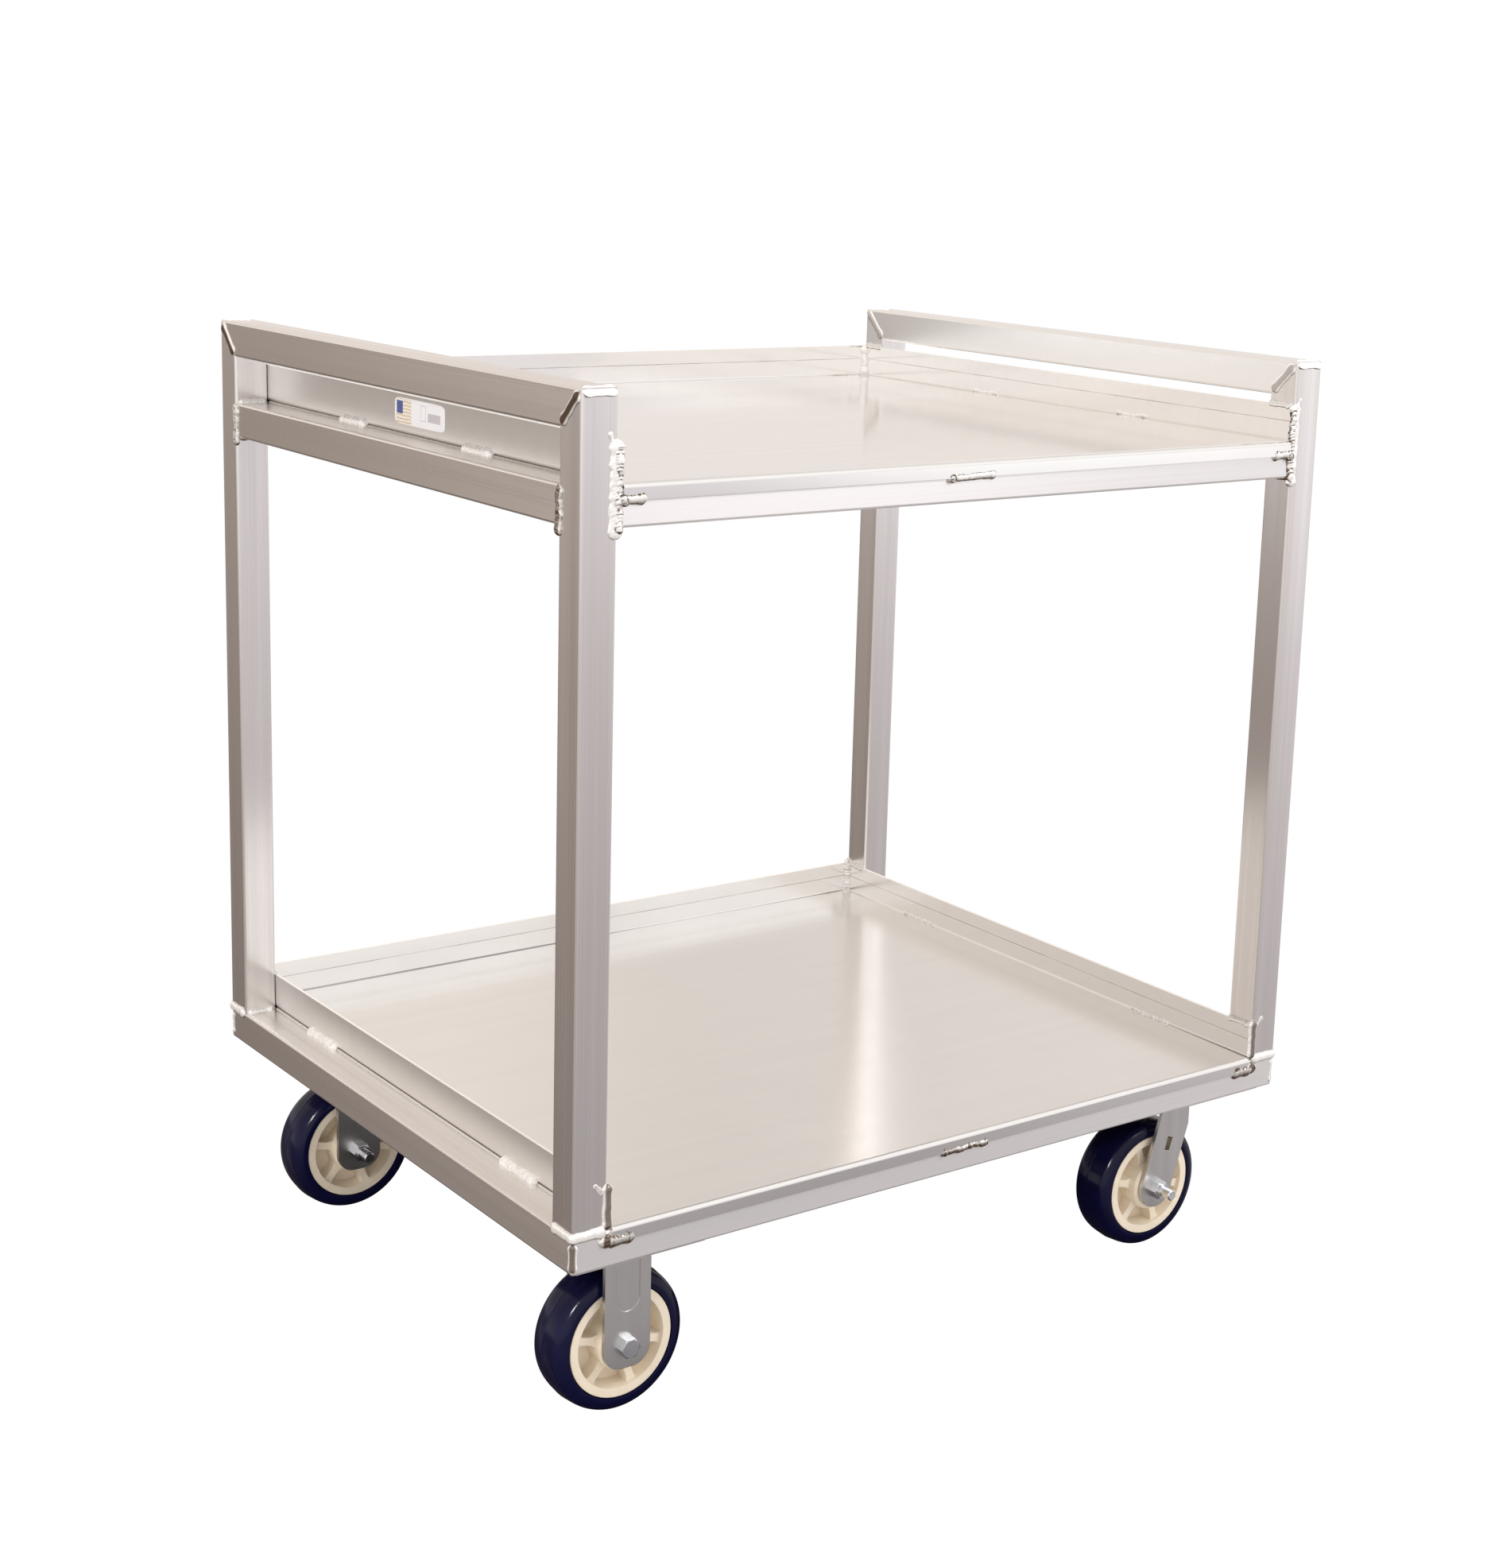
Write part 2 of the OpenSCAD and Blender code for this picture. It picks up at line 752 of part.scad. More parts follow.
// Cast tread: a crowned band with rounded shoulders
module tread(right, back) {
    flat = tread_w - 2 * tread_edge_r;
    color("midnightblue") at_axle(right, back) turned() intersection() {
        translate([hub_d / 2, -tread_w / 2]) square([tread_t, tread_w]);
        translate([wheel_d / 2 - tread_crown_r, 0]) circle(tread_crown_r, $fn = 128);
        union() {
            translate([hub_d / 2, -tread_w / 2]) square([tread_t - tread_edge_r, tread_w]);
            translate([hub_d / 2, -flat / 2]) square([tread_t, flat]);
            for (s = [-1, 1]) translate([wheel_d / 2 - tread_edge_r, s * flat / 2]) circle(tread_edge_r);
        }
    }
}

// Half of the hub's turned section: rim with drafted inner face, web, and boss with a rounded face
module hub_section() {
    rim_r = hub_d / 2 - rim_t;
    polygon(concat(
        [[bearing_r, 0], [bearing_r, hub_len / 2]],
        [for (q = [0 : boss_round_step : 90])
            [boss_r - boss_round * (1 - sin(q)), hub_len / 2 - boss_round * (1 - cos(q))]],
        [[boss_r, web_t / 2], [rim_r - rim_draft, web_t / 2], [rim_r, hub_w / 2], [hub_d / 2, hub_w / 2],
        [hub_d / 2, 0]]));
}

// One rib along +X, spreading where it meets the boss and the rim
module rib_outline() {
    half = rib_w / 2;
    rim_r = hub_d / 2 - rim_t;
    span = rim_r - boss_r;
    for (side = [0, 1]) mirror([0, side])
        polygon(concat(
            [[boss_r - over, 0], [boss_r - over, half + rib_flare]],
            [for (p = boss_root) [boss_r + p[0] * span, half + p[1] * rib_flare]],
            [for (p = rim_root) [rim_r - p[0] * span, half + p[1] * rib_flare]],
            [[rim_r + over, half + rib_flare], [rim_r + over, 0]]));
}

module hub(right, back) {
    rib_half = hub_w / 2 - rib_drop - over;
    color("wheat") at_axle(right, back) {
        turned() {
            hub_section();
            mirror([0, 1]) hub_section();
        }
        for (i = [0 : rib_count - 1])
            rotate([0, i * 360 / rib_count + rib_turn, 0]) along_y(-rib_half, rib_half) rib_outline();
    }
}

// Roller bearing: loose rollers in the pockets of a cage, between the hub and the sleeve
module bearing(right, back) {
    pocket = bearing_len / 2 - cage_end;
    color("silver") at_axle(right, back) {
        difference() {
            along_y(-bearing_len / 2, bearing_len / 2) difference() {
                circle(cage_out);
                circle(cage_in);
            }
            along_y(-pocket, pocket) rollers(roller_r + running);
        }
        along_y(-pocket + roller_end, pocket - roller_end) rollers(roller_r);
    }
}

module rollers(r) {
    for (i = [0 : roller_n - 1])
        rotate(i * 360 / roller_n) translate([sleeve_r + running + roller_r, 0]) circle(r);
}

module axle_sleeve(right, back) {
    color("silver") at_axle(right, back) along_y(-leg_in, leg_in) difference() {
        circle(sleeve_r);
        circle(axle_hole_r);
    }
}

// Hexagon of the axle's head or nut from y0 to y1, its corners turned off at y1
module turned_hexagon(y0, y1) {
    corner_r = axle_hex_af / 2 / cos(30) + over;
    bevel_h = (corner_r - axle_hex_face_r) * tan(30);
    intersection() {
        along_y(y0, y1) hexagon(axle_hex_af);
        turned() polygon([
            [0, -y0], [corner_r, -y0], [corner_r, bevel_h - y1], [axle_hex_face_r, -y1], [0, -y1]]);
    }
}

// Axle bolt with a bevelled end, its head at the front or at the back
module axle_bolt(right, back, head_back) {
    end_y = leg_out + axle_nut_h + axle_end;
    color("silver") at_axle(right, back) mirror([0, head_back ? 1 : 0, 0]) {
        turned() polygon([
            [0, leg_out + over], [axle_d / 2, leg_out + over], [axle_d / 2, axle_end_bevel - end_y],
            [axle_d / 2 - axle_end_bevel, -end_y], [0, -end_y]]);
        mirror([0, 1, 0]) turned_hexagon(leg_out, leg_out + axle_head_h);
    }
}

// Lock nut: a hexagon with a round collar
module axle_nut(right, back, head_back) {
    color("silver") at_axle(right, back) mirror([0, head_back ? 1 : 0, 0]) difference() {
        union() {
            turned_hexagon(leg_out, leg_out + nut_hex_share * axle_nut_h);
            along_y(leg_out, leg_out + axle_nut_h) circle(d = nut_collar_d);
        }
        along_y(leg_out - over, leg_out + axle_nut_h + over) circle(axle_d / 2 + running);
    }
}

// The nodes

leg(false, false);  // leg_front_left
leg(false, true);  // leg_back_left
leg(true, false);  // leg_front_right
leg(true, true);  // leg_back_right
handle(false);  // handle_left
handle(true);  // handle_right
upper_rail_long(false);  // upper_rail_front
upper_rail_long(true);  // upper_rail_back
upper_rail_end(false);  // upper_rail_left
upper_rail_end(true);  // upper_rail_right
base_rail_long(false);  // base_rail_front
base_rail_long(true);  // base_rail_back
base_rail_end(false);  // base_rail_left
base_rail_end(true);  // base_rail_right
pan(shelf_z);  // upper_pan
pan(base_z);  // lower_pan
upper_welds();
lower_welds();
handle_welds();
corner_plate(false, false);  // corner_plate_front_left
corner_plate(false, true);  // corner_plate_back_left
corner_plate(true, false);  // corner_plate_front_right
corner_plate(true, true);  // corner_plate_back_right
caster_bolts();
caster_nuts();

rigid_fork(false);  // fork_front_left
axle_bolt(false, false, false);  // axle_bolt_front_left
axle_nut(false, false, false);  // axle_nut_front_left
axle_sleeve(false, false);  // axle_sleeve_front_left
bearing(false, false);  // bearing_front_left
hub(false, false);  // hub_front_left
tread(false, false);  // tread_front_left

rigid_fork(true);  // fork_back_left
axle_bolt(false, true, true);  // axle_bolt_back_left
axle_nut(false, true, true);  // axle_nut_back_left
axle_sleeve(false, true);  // axle_sleeve_back_left
bearing(false, true);  // bearing_back_left
hub(false, true);  // hub_back_left
tread(false, true);  // tread_back_left

top_plate(false);  // top_plate_front_right
king_pin(false);  // king_pin_front_right
ball_ring(false);  // ball_ring_front_right
swivel_fork(false);  // fork_front_right
axle_bolt(true, false, true);  // axle_bolt_front_right
axle_nut(true, false, true);  // axle_nut_front_right
axle_sleeve(true, false);  // axle_sleeve_front_right
bearing(true, false);  // bearing_front_right
hub(true, false);  // hub_front_right
tread(true, false);  // tread_front_right

top_plate(true);  // top_plate_back_right
king_pin(true);  // king_pin_back_right
ball_ring(true);  // ball_ring_back_right
swivel_fork(true);  // fork_back_right
axle_bolt(true, true, true);  // axle_bolt_back_right
axle_nut(true, true, true);  // axle_nut_back_right
axle_sleeve(true, true);  // axle_sleeve_back_right
bearing(true, true);  // bearing_back_right
hub(true, true);  // hub_back_right
tread(true, true);  // tread_back_right
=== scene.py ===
import math

import bmesh
import bpy
import numpy as np
from mathutils import Matrix, Vector


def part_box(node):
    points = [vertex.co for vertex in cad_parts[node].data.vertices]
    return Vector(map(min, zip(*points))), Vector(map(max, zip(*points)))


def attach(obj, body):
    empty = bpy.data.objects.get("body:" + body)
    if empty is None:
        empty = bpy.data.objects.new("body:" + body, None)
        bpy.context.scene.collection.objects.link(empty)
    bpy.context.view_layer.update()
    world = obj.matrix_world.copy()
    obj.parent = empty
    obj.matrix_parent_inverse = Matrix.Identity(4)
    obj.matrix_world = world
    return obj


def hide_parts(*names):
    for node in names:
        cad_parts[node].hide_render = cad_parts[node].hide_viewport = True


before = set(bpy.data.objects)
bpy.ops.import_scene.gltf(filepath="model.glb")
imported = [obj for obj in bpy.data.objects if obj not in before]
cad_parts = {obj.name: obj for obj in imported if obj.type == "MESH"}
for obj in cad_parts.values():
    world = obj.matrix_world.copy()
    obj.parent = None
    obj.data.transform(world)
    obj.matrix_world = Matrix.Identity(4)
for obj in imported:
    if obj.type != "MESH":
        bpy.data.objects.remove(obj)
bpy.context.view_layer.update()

# Camera: a long lens from the front left, a little over the upper shelf, with
# a small shift, as in the photograph.
scene = bpy.context.scene
camera_data = bpy.data.cameras.new("camera")
camera = bpy.data.objects.new("camera", camera_data)
scene.collection.objects.link(camera)
scene.camera = camera
camera_data.sensor_fit = "AUTO"
camera_data.sensor_width = 36.0
camera_data.lens = 58.76
camera_data.shift_x = -0.0760
camera_data.shift_y = -0.0760
camera_data.clip_end = 50.0
eye = Vector((-1.6344, -2.3197, 1.2613))
ahead = Vector((0.59708, 0.77601, -0.20324)).normalized()
across = Vector((0.7964, -0.6038, 0.03425))
across = (across - ahead * across.dot(ahead)).normalized()
upright = across.cross(ahead)
camera.matrix_world = Matrix((
    (across.x, upright.x, -ahead.x, eye.x),
    (across.y, upright.y, -ahead.y, eye.y),
    (across.z, upright.z, -ahead.z, eye.z),
    (0, 0, 0, 1)))

# Room: pale walls over a duller ground, which the bare metal mirrors. The walls are
# brightest in front and dimmer behind the left end; the floor is white to the camera, and in
# reflections shows a painted shadow under the cart.
def linear(hex_colour):
    """sRGB hex text to linear RGBA: c / 12.92 below 0.04045, else ((c + 0.055) / 1.055) ^ 2.4."""
    c = np.array([int(hex_colour[i:i + 2], 16) for i in (0, 2, 4)]) / 255.0
    c = np.where(c <= 0.04045, c / 12.92, ((c + 0.055) / 1.055) ** 2.4)
    return (*[float(v) for v in c], 1.0)


def put(tree, node, values):
    """Gives values to a node's sockets by name or number. A value that is itself a socket is linked."""
    for key, value in values.items():
        if isinstance(value, bpy.types.NodeSocket):
            tree.links.new(value, node.inputs[key])
        else:
            node.inputs[key].default_value = value


def add(tree, kind, values=None, **attributes):
    """Adds a shader node, sets its attributes and puts the values into its sockets."""
    node = tree.nodes.new(kind)
    for key, value in attributes.items():
        setattr(node, key, value)
    put(tree, node, values or {})
    return node


def calc(tree, operation, *values, clamp=False):
    """The result of a maths node on one, two or three values."""
    return add(tree, "ShaderNodeMath", dict(enumerate(values)), operation=operation,
               use_clamp=clamp).outputs[0]


def span(tree, value, low, high, first=0.0, last=1.0, smooth=False):
    """Goes from first to last while value goes from low to high, and stays there beyond, eased if smooth."""
    return add(tree, "ShaderNodeMapRange", {0: value, 1: low, 2: high, 3: first, 4: last},
               interpolation_type="SMOOTHSTEP" if smooth else "LINEAR").outputs[0]


def blend(tree, share, first, last):
    """The colour first at share 0 and last at share 1. Either may be hex text."""
    first, last = (linear(v) if isinstance(v, str) else v for v in (first, last))
    return add(tree, "ShaderNodeMix", {0: share, 6: first, 7: last}, data_type="RGBA").outputs[2]


def ramp(tree, bearing, stops):
    """Smooth colours round the room. The bearing runs 0..1 for -180..180 degrees anticlockwise from +X, and
    the stops are (degrees, hex)."""
    n = add(tree, "ShaderNodeValToRGB", {0: bearing})
    n.color_ramp.interpolation = "EASE"
    elements = n.color_ramp.elements
    stops = [((degrees + 180.0) / 360.0, linear(colour)) for degrees, colour in stops]
    for k in (0, 1):
        elements[k].position, elements[k].color = stops[-k]
    for place, colour in stops[1:-1]:
        elements.new(place).color = colour
    return n.outputs[0]


world = bpy.data.worlds.new("studio")
scene.world = world
world.use_nodes = True
tree = world.node_tree
tree.nodes.clear()
axis = add(tree, "ShaderNodeSeparateXYZ", {0: add(tree, "ShaderNodeTexCoord").outputs["Generated"]})
bearing = span(tree, calc(tree, "ARCTAN2", axis.outputs["Y"], axis.outputs["X"]), -math.pi, math.pi)
walls = ramp(tree, bearing, [
    (-180, "FFFCFA"), (-120, "FFFCFA"), (-78, "E4E0E2"), (-62, "D6D1D6"), (-57, "DCD7DB"), (-51, "FFFFFF"),
    (-46, "FFFFFF"), (-41, "F4F0F3"), (-15, "E6E4E3"), (30, "E2DBD6"), (60, "E4DDD8"), (90, "C8C1BC"),
    (110, "867A71"), (121, "AA9E95"), (125, "8A7F77"), (128, "80766E"), (131, "FFFFFF"), (150, "FFFBF7"),
    (180, "FFFCFA")])
upper_walls = ramp(tree, bearing, [
    (-180, "FFFCFA"), (-120, "FFFCFA"), (-62, "E8E4E6"), (-15, "E6E4E3"), (30, "E2DBD6"), (60, "E4DDD8"),
    (98, "F4ECE6"), (121, "FFFBF6"), (130, "ECE4DE"), (150, "EEE6E0"), (180, "FFFCFA")])
ground = ramp(tree, bearing, [
    (-180, "BEB4AD"), (-110, "CAC3C0"), (-66, "D2CCCC"), (-58, "C2BCBE"), (-52, "B6B0B1"), (-43, "DAD4D6"),
    (-20, "DCD6D6"), (0, "C6BFBC"), (60, "B4ACA7"), (108, "7A6F67"), (114, "7E736B"), (121, "C6BAB3"),
    (130, "8A7F78"), (138, "867C74"), (180, "BEB4AD")])
ceiling = ramp(tree, bearing, [
    (-180, "F0EAE4"), (-60, "FAF8F6"), (-38, "F8F6F4"), (0, "E0DCDA"), (44, "DCD5D0"), (57, "D4CDC7"),
    (62, "E4DBD4"), (67, "E0D6CE"), (90, "E4DCD5"), (112, "E4DCD4"), (123, "E4DCD4"), (134, "CEC6BF"),
    (180, "F0EAE4")])
# Heights are sines of elevation. The ground darkens downwards, and its edge lies higher behind the cart.
ground_dims, ground_ends = (-0.42, -0.14), (-0.186, -0.116)
walls_change, ceiling_begins = (0.02, 0.09), (0.14, 0.30)
darkest, rise_behind, room_strength = 0.62, 0.040, 1.12
up = axis.outputs["Z"]
shaded = blend(tree, span(tree, up, *ground_dims, darkest, 1.0), "000000", ground)
behind = span(tree, axis.outputs["Y"], -0.2, 0.2, 0.0, rise_behind)
off_ground = span(tree, calc(tree, "SUBTRACT", up, behind), *ground_ends, smooth=True)
walls = blend(tree, span(tree, up, *walls_change, smooth=True), walls, upper_walls)
sides = blend(tree, off_ground, shaded, walls)
sky = blend(tree, span(tree, up, *ceiling_begins, smooth=True), sides, ceiling)
room = add(tree, "ShaderNodeBackground", {"Color": sky, "Strength": room_strength})
white = add(tree, "ShaderNodeBackground", {"Color": (1, 1, 1, 1), "Strength": 1.0})
seen = add(tree, "ShaderNodeLightPath").outputs["Is Camera Ray"]
mixed = add(tree, "ShaderNodeMixShader", {0: seen, 1: room.outputs[0], 2: white.outputs[0]})
add(tree, "ShaderNodeOutputWorld", {"Surface": mixed.outputs[0]})


def lamp(name, place, target, size, power, colour="FFFFFF", mirrored=True, linked=None):
    """A square area lamp at place, turned to target, in metres and watts. Polished faces show it only if
    mirrored. With a collection as linked it lights what that holds, or all but what that excludes."""
    data = bpy.data.lights.new(name, "AREA")
    data.shape = "SQUARE"
    data.size = size
    data.energy = power
    data.color = linear(colour)[:3]
    o = bpy.data.objects.new(name, data)
    scene.collection.objects.link(o)
    o.location = place
    o.rotation_euler = (Vector(target) - Vector(place)).to_track_quat("-Z", "Y").to_euler()
    o.visible_glossy = mirrored
    o.light_linking.receiver_collection = linked


out_of_key = bpy.data.collections.new("out_of_key")
wheel_gloss = bpy.data.collections.new("wheel_gloss")
lamp("lamp_key", (1.6, -2.6, 2.6), (0.0, 0.0, 0.5), 1.4, 38.0, linked=out_of_key)
lamp("lamp_top", (0.2, 1.2, 3.2), (0.0, 0.0, 0.6), 2.2, 42.0, "FFFAF5", False)
lamp("lamp_left", (-3.0, -0.6, 1.6), (0.0, 0.0, 0.4), 1.0, 20.0, "FFFFFF", False)
lamp("lamp_spark_low", (-2.27, -2.36, 1.70), (0.0, 0.0, 0.1), 0.5, 60.0, linked=wheel_gloss)
lamp("lamp_spark_high", (-1.90, -2.10, 3.10), (0.0, 0.0, 0.1), 0.5, 60.0, linked=wheel_gloss)

far, frame_half, fade_inside, fade_outside = 9, (("X", 0.47), ("Y", 0.39)), 0.08, 0.10
floor_mesh = bpy.data.meshes.new("floor")
floor_mesh.from_pydata([(-far, -far, 0), (far, -far, 0), (far, far, 0), (-far, far, 0)], [], [(0, 1, 2, 3)])
floor = bpy.data.objects.new("floor", floor_mesh)
scene.collection.objects.link(floor)
paper = bpy.data.materials.new("white_paper")
paper.use_nodes = True
tree = paper.node_tree
tree.nodes.clear()
ray = add(tree, "ShaderNodeLightPath").outputs
matt = add(tree, "ShaderNodeBsdfDiffuse", {"Color": linear("E8E6E4")})
glow = add(tree, "ShaderNodeEmission", {"Color": (1, 1, 1, 1), "Strength": 1.0})
clear = add(tree, "ShaderNodeBsdfTransparent")
# Painted shadow: mirrored rays that reach the floor under the cart see a dark sheet, fading out past the
# frame.
dark = add(tree, "ShaderNodeEmission", {"Color": linear("2C2927"), "Strength": 1.0})
spot = add(tree, "ShaderNodeSeparateXYZ", {0: add(tree, "ShaderNodeTexCoord").outputs["Object"]})
under_x, under_y = (
    span(tree, calc(tree, "ABSOLUTE", spot.outputs[way]), half - fade_inside, half + fade_outside, 1.0, 0.0,
         smooth=True)
    for way, half in frame_half)
painted_shadow_under_cart = calc(tree, "MULTIPLY", under_x, under_y)
mirror = add(tree, "ShaderNodeMixShader", {0: painted_shadow_under_cart, 1: clear.outputs[0], 2: dark.outputs[0]})
mix = add(tree, "ShaderNodeMixShader", {0: ray["Is Glossy Ray"], 1: matt.outputs[0], 2: mirror.outputs[0]})
mix = add(tree, "ShaderNodeMixShader", {0: ray["Is Camera Ray"], 1: mix.outputs[0], 2: glow.outputs[0]})
add(tree, "ShaderNodeOutputMaterial", {"Surface": mix.outputs[0]})
floor_mesh.materials.append(paper)

# Square tubes: 1 1/2 in of extruded 6063 aluminium, mill finish, with small round edges, welded
# where they meet. Fine die lines run along each tube and handling leaves faint marks. The right handle
# bar is smoother and painted paler, a painted highlight.
def surface(name):
    """A new material: itself, its node tree, its shader and its object coordinates."""
    m = bpy.data.materials.new(name)
    m.use_nodes = True
    t = m.node_tree
    return m, t, t.nodes["Principled BSDF"], add(t, "ShaderNodeTexCoord").outputs["Object"]


def noise(tree, where, scale, detail, roughness=0.5):
    """Fractal noise from 0 to 1."""
    return add(tree, "ShaderNodeTexNoise", {"Vector": where, "Scale": scale, "Detail": detail,
                                            "Roughness": roughness}).outputs[0]


def between(tree, share, first, last):
    """The number first at share 0 and last at share 1."""
    return add(tree, "ShaderNodeMix", {0: share, 2: first, 3: last}).outputs[0]


def bumps(tree, height, strength, distance, **more):
    """A normal tilted by the slope of a height that is distance metres at 1."""
    return add(tree, "ShaderNodeBump", {"Height": height, "Strength": strength, "Distance": distance,
                                        **more}).outputs[0]


def mill_metal(name, pale, dark, rough, along, across_mm, relief, spread=0.0, blotch=0.25, edge=0.0):
    """Mill-finish metal whose die lines, across_mm wide, run along one axis: noise drawn out along that axis,
    mixed with slow patches, and a mirror image blurred across the lines by the share spread."""
    m, t, shader, where = surface(name)

    def streaks(across, lengthwise, **more):
        """Noise with one scale per metre across the lines and another along them."""
        scale = [across] * 3
        scale[along] = lengthwise
        drawn_out = add(t, "ShaderNodeMapping", {"Vector": where, "Scale": scale}).outputs[0]
        return noise(t, drawn_out, 1.0, **more)

    lines = streaks(1000.0 / across_mm, 2.0, detail=2.0, roughness=0.6)
    bands = streaks(60.0, 0.8, detail=1.0)
    patches = noise(t, where, 9.0, 4.0, 0.6)
    level = span(t, between(t, 0.5, between(t, blotch, lines, patches), bands), 0.35, 0.65)
    normal = {}
    if edge > 0:
        normal["Normal"] = add(t, "ShaderNodeBevel", {"Radius": edge}, samples=4).outputs[0]
    put(t, shader, {"Base Color": blend(t, level, dark, pale), "Metallic": 1.0,
                    "Roughness": span(t, level, 0.0, 1.0, rough * 1.1, rough * 0.9),
                    "Normal": bumps(t, lines, 0.25, relief, **normal)})
    if spread > 0:
        lay = add(t, "ShaderNodeCombineXYZ", {along: 1.0}).outputs[0]
        put(t, shader, {"Tangent": lay, "Anisotropic": spread, "Anisotropic Rotation": 0.25})
    return m


def show(name, mesh, material):
    """Puts a mesh into the scene as an object of the same name, made of one material."""
    mesh.name = name
    mesh.materials.clear()
    mesh.materials.append(material)
    o = bpy.data.objects.new(name, mesh)
    scene.collection.objects.link(o)
    return o


def smooth_copy(node, material, body, angle=40.0):
    """A merged copy of a CAD node whose flat faces stay flat and whose round edges shade smoothly."""
    merge, flat, flat_weight = 2e-6, 0.002, 80
    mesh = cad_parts[node].data.copy()
    b = bmesh.new()
    b.from_mesh(mesh)
    bmesh.ops.remove_doubles(b, verts=b.verts, dist=merge)
    bmesh.ops.dissolve_limit(b, angle_limit=flat, verts=b.verts, edges=b.edges)
    for f in b.faces:
        f.smooth = True
    for e in b.edges:
        e.smooth = not (len(e.link_faces) == 2 and e.calc_face_angle(0.0) > math.radians(angle))
    b.to_mesh(mesh)
    b.free()
    o = show(node + "_shown", mesh, material)
    even = o.modifiers.new("even", "WEIGHTED_NORMAL")
    even.keep_sharp = True
    even.weight = flat_weight
    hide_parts(node)
    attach(o, body)
    return o


line_width, line_relief = 1.2, 0.00004
tube_metal = {
    way: mill_metal(f"mill_aluminium_tube_{way}", pale, dark, rough, along, line_width, line_relief, spread)
    for way, pale, dark, rough, along, spread in (
        ("x", "FFFEFD", "F1EEEC", 0.30, 0, 0.85), ("y", "F6F3F1", "E6E1DD", 0.26, 1, 0.60),
        ("painted_light_handle", "FFFFFE", "FAF8F6", 0.22, 1, 0.60), ("z", "F4F1F0", "E4DFDC", 0.25, 2, 0.60))}
corners = ("front_left", "back_left", "front_right", "back_right")
for corner in corners:
    smooth_copy(f"leg_{corner}", tube_metal["z"], "cart")
for end in ("left", "right"):
    for piece in ("handle", "upper_rail", "base_rail"):
        # The right handle bar gets the paler copy of the metal: painted light.
        metal = "painted_light_handle" if (piece, end) == ("handle", "right") else "y"
        smooth_copy(f"{piece}_{end}", tube_metal[metal], "cart")
for end in ("front", "back"):
    for piece in ("upper_rail", "base_rail"):
        smooth_copy(f"{piece}_{end}", tube_metal["x"], "cart")

# Pans: 1/8 in aluminium sheet folded on a press brake and welded to the rails, smooth enough to
# mirror the upturned edges. A faint brownish line runs along each upturned edge, and the top edges carry a
# painted highlight. The key lamp leaves the pans out, so that their floors don't burn out to white.
def folded_sheet(name, floor_z, rough):
    """Smooth sheet, rubbed duller on the ends' outer faces. Inside the upturned edges a thin brownish line
    halfway
    up: mask = 1 - |z - z0| / 0.7 mm, broken up by noise along it. The sheared top edges are painted near
    white, a painted highlight along the rims."""
    line_z, line_half, rim_highlight_z = floor_z + 0.021, 0.0007, floor_z + 0.0379
    outer_x, inner_x, inner_y, rubbed = 0.4313, 0.4290, 0.3853, 0.36
    m = mill_metal(name, "F6F4F2", "F3F1EF", rough, along=0, across_mm=8.0, relief=0.000003, blotch=0.97)
    t = m.node_tree
    shader = t.nodes["Principled BSDF"]
    where = add(t, "ShaderNodeTexCoord").outputs["Object"]
    x, y, z = add(t, "ShaderNodeSeparateXYZ", {0: where}).outputs
    reach = calc(t, "ABSOLUTE", x)
    stripe = span(t, calc(t, "ABSOLUTE", calc(t, "SUBTRACT", z, line_z)), 0.0, line_half, 1.0, 0.0)
    inside = calc(t, "MULTIPLY", calc(t, "LESS_THAN", reach, inner_x), calc(t, "LESS_THAN", y, inner_y))
    line_breakup = span(t, noise(t, where, 22.0, 2.0), 0.3, 0.6, 0.25, 0.8)
    mid_line = calc(t, "MULTIPLY", calc(t, "MULTIPLY", stripe, inside), line_breakup)
    outer = calc(t, "GREATER_THAN", reach, outer_x)
    # Painted highlight: the top edges turn near white and mostly non-metallic.
    rim_highlight = calc(t, "GREATER_THAN", z, rim_highlight_z)
    clean, fresh = (shader.inputs[key].links[0].from_socket for key in ("Base Color", "Roughness"))
    put(t, shader, {"Base Color": blend(t, rim_highlight, blend(t, mid_line, clean, "8F8277"), "FFFDF8"),
                    "Metallic": between(t, rim_highlight, 1.0, 0.25),
                    "Roughness": between(t, outer, fresh, rubbed)})
    return m


for pan, floor_z, rough in (("upper_pan", 0.9487, 0.11), ("lower_pan", 0.2378, 0.19)):
    out_of_key.objects.link(smooth_copy(pan, folded_sheet(f"mill_aluminium_{pan}", floor_z, rough), "cart"))
for row in out_of_key.collection_objects:
    row.light_linking.link_state = "EXCLUDE"

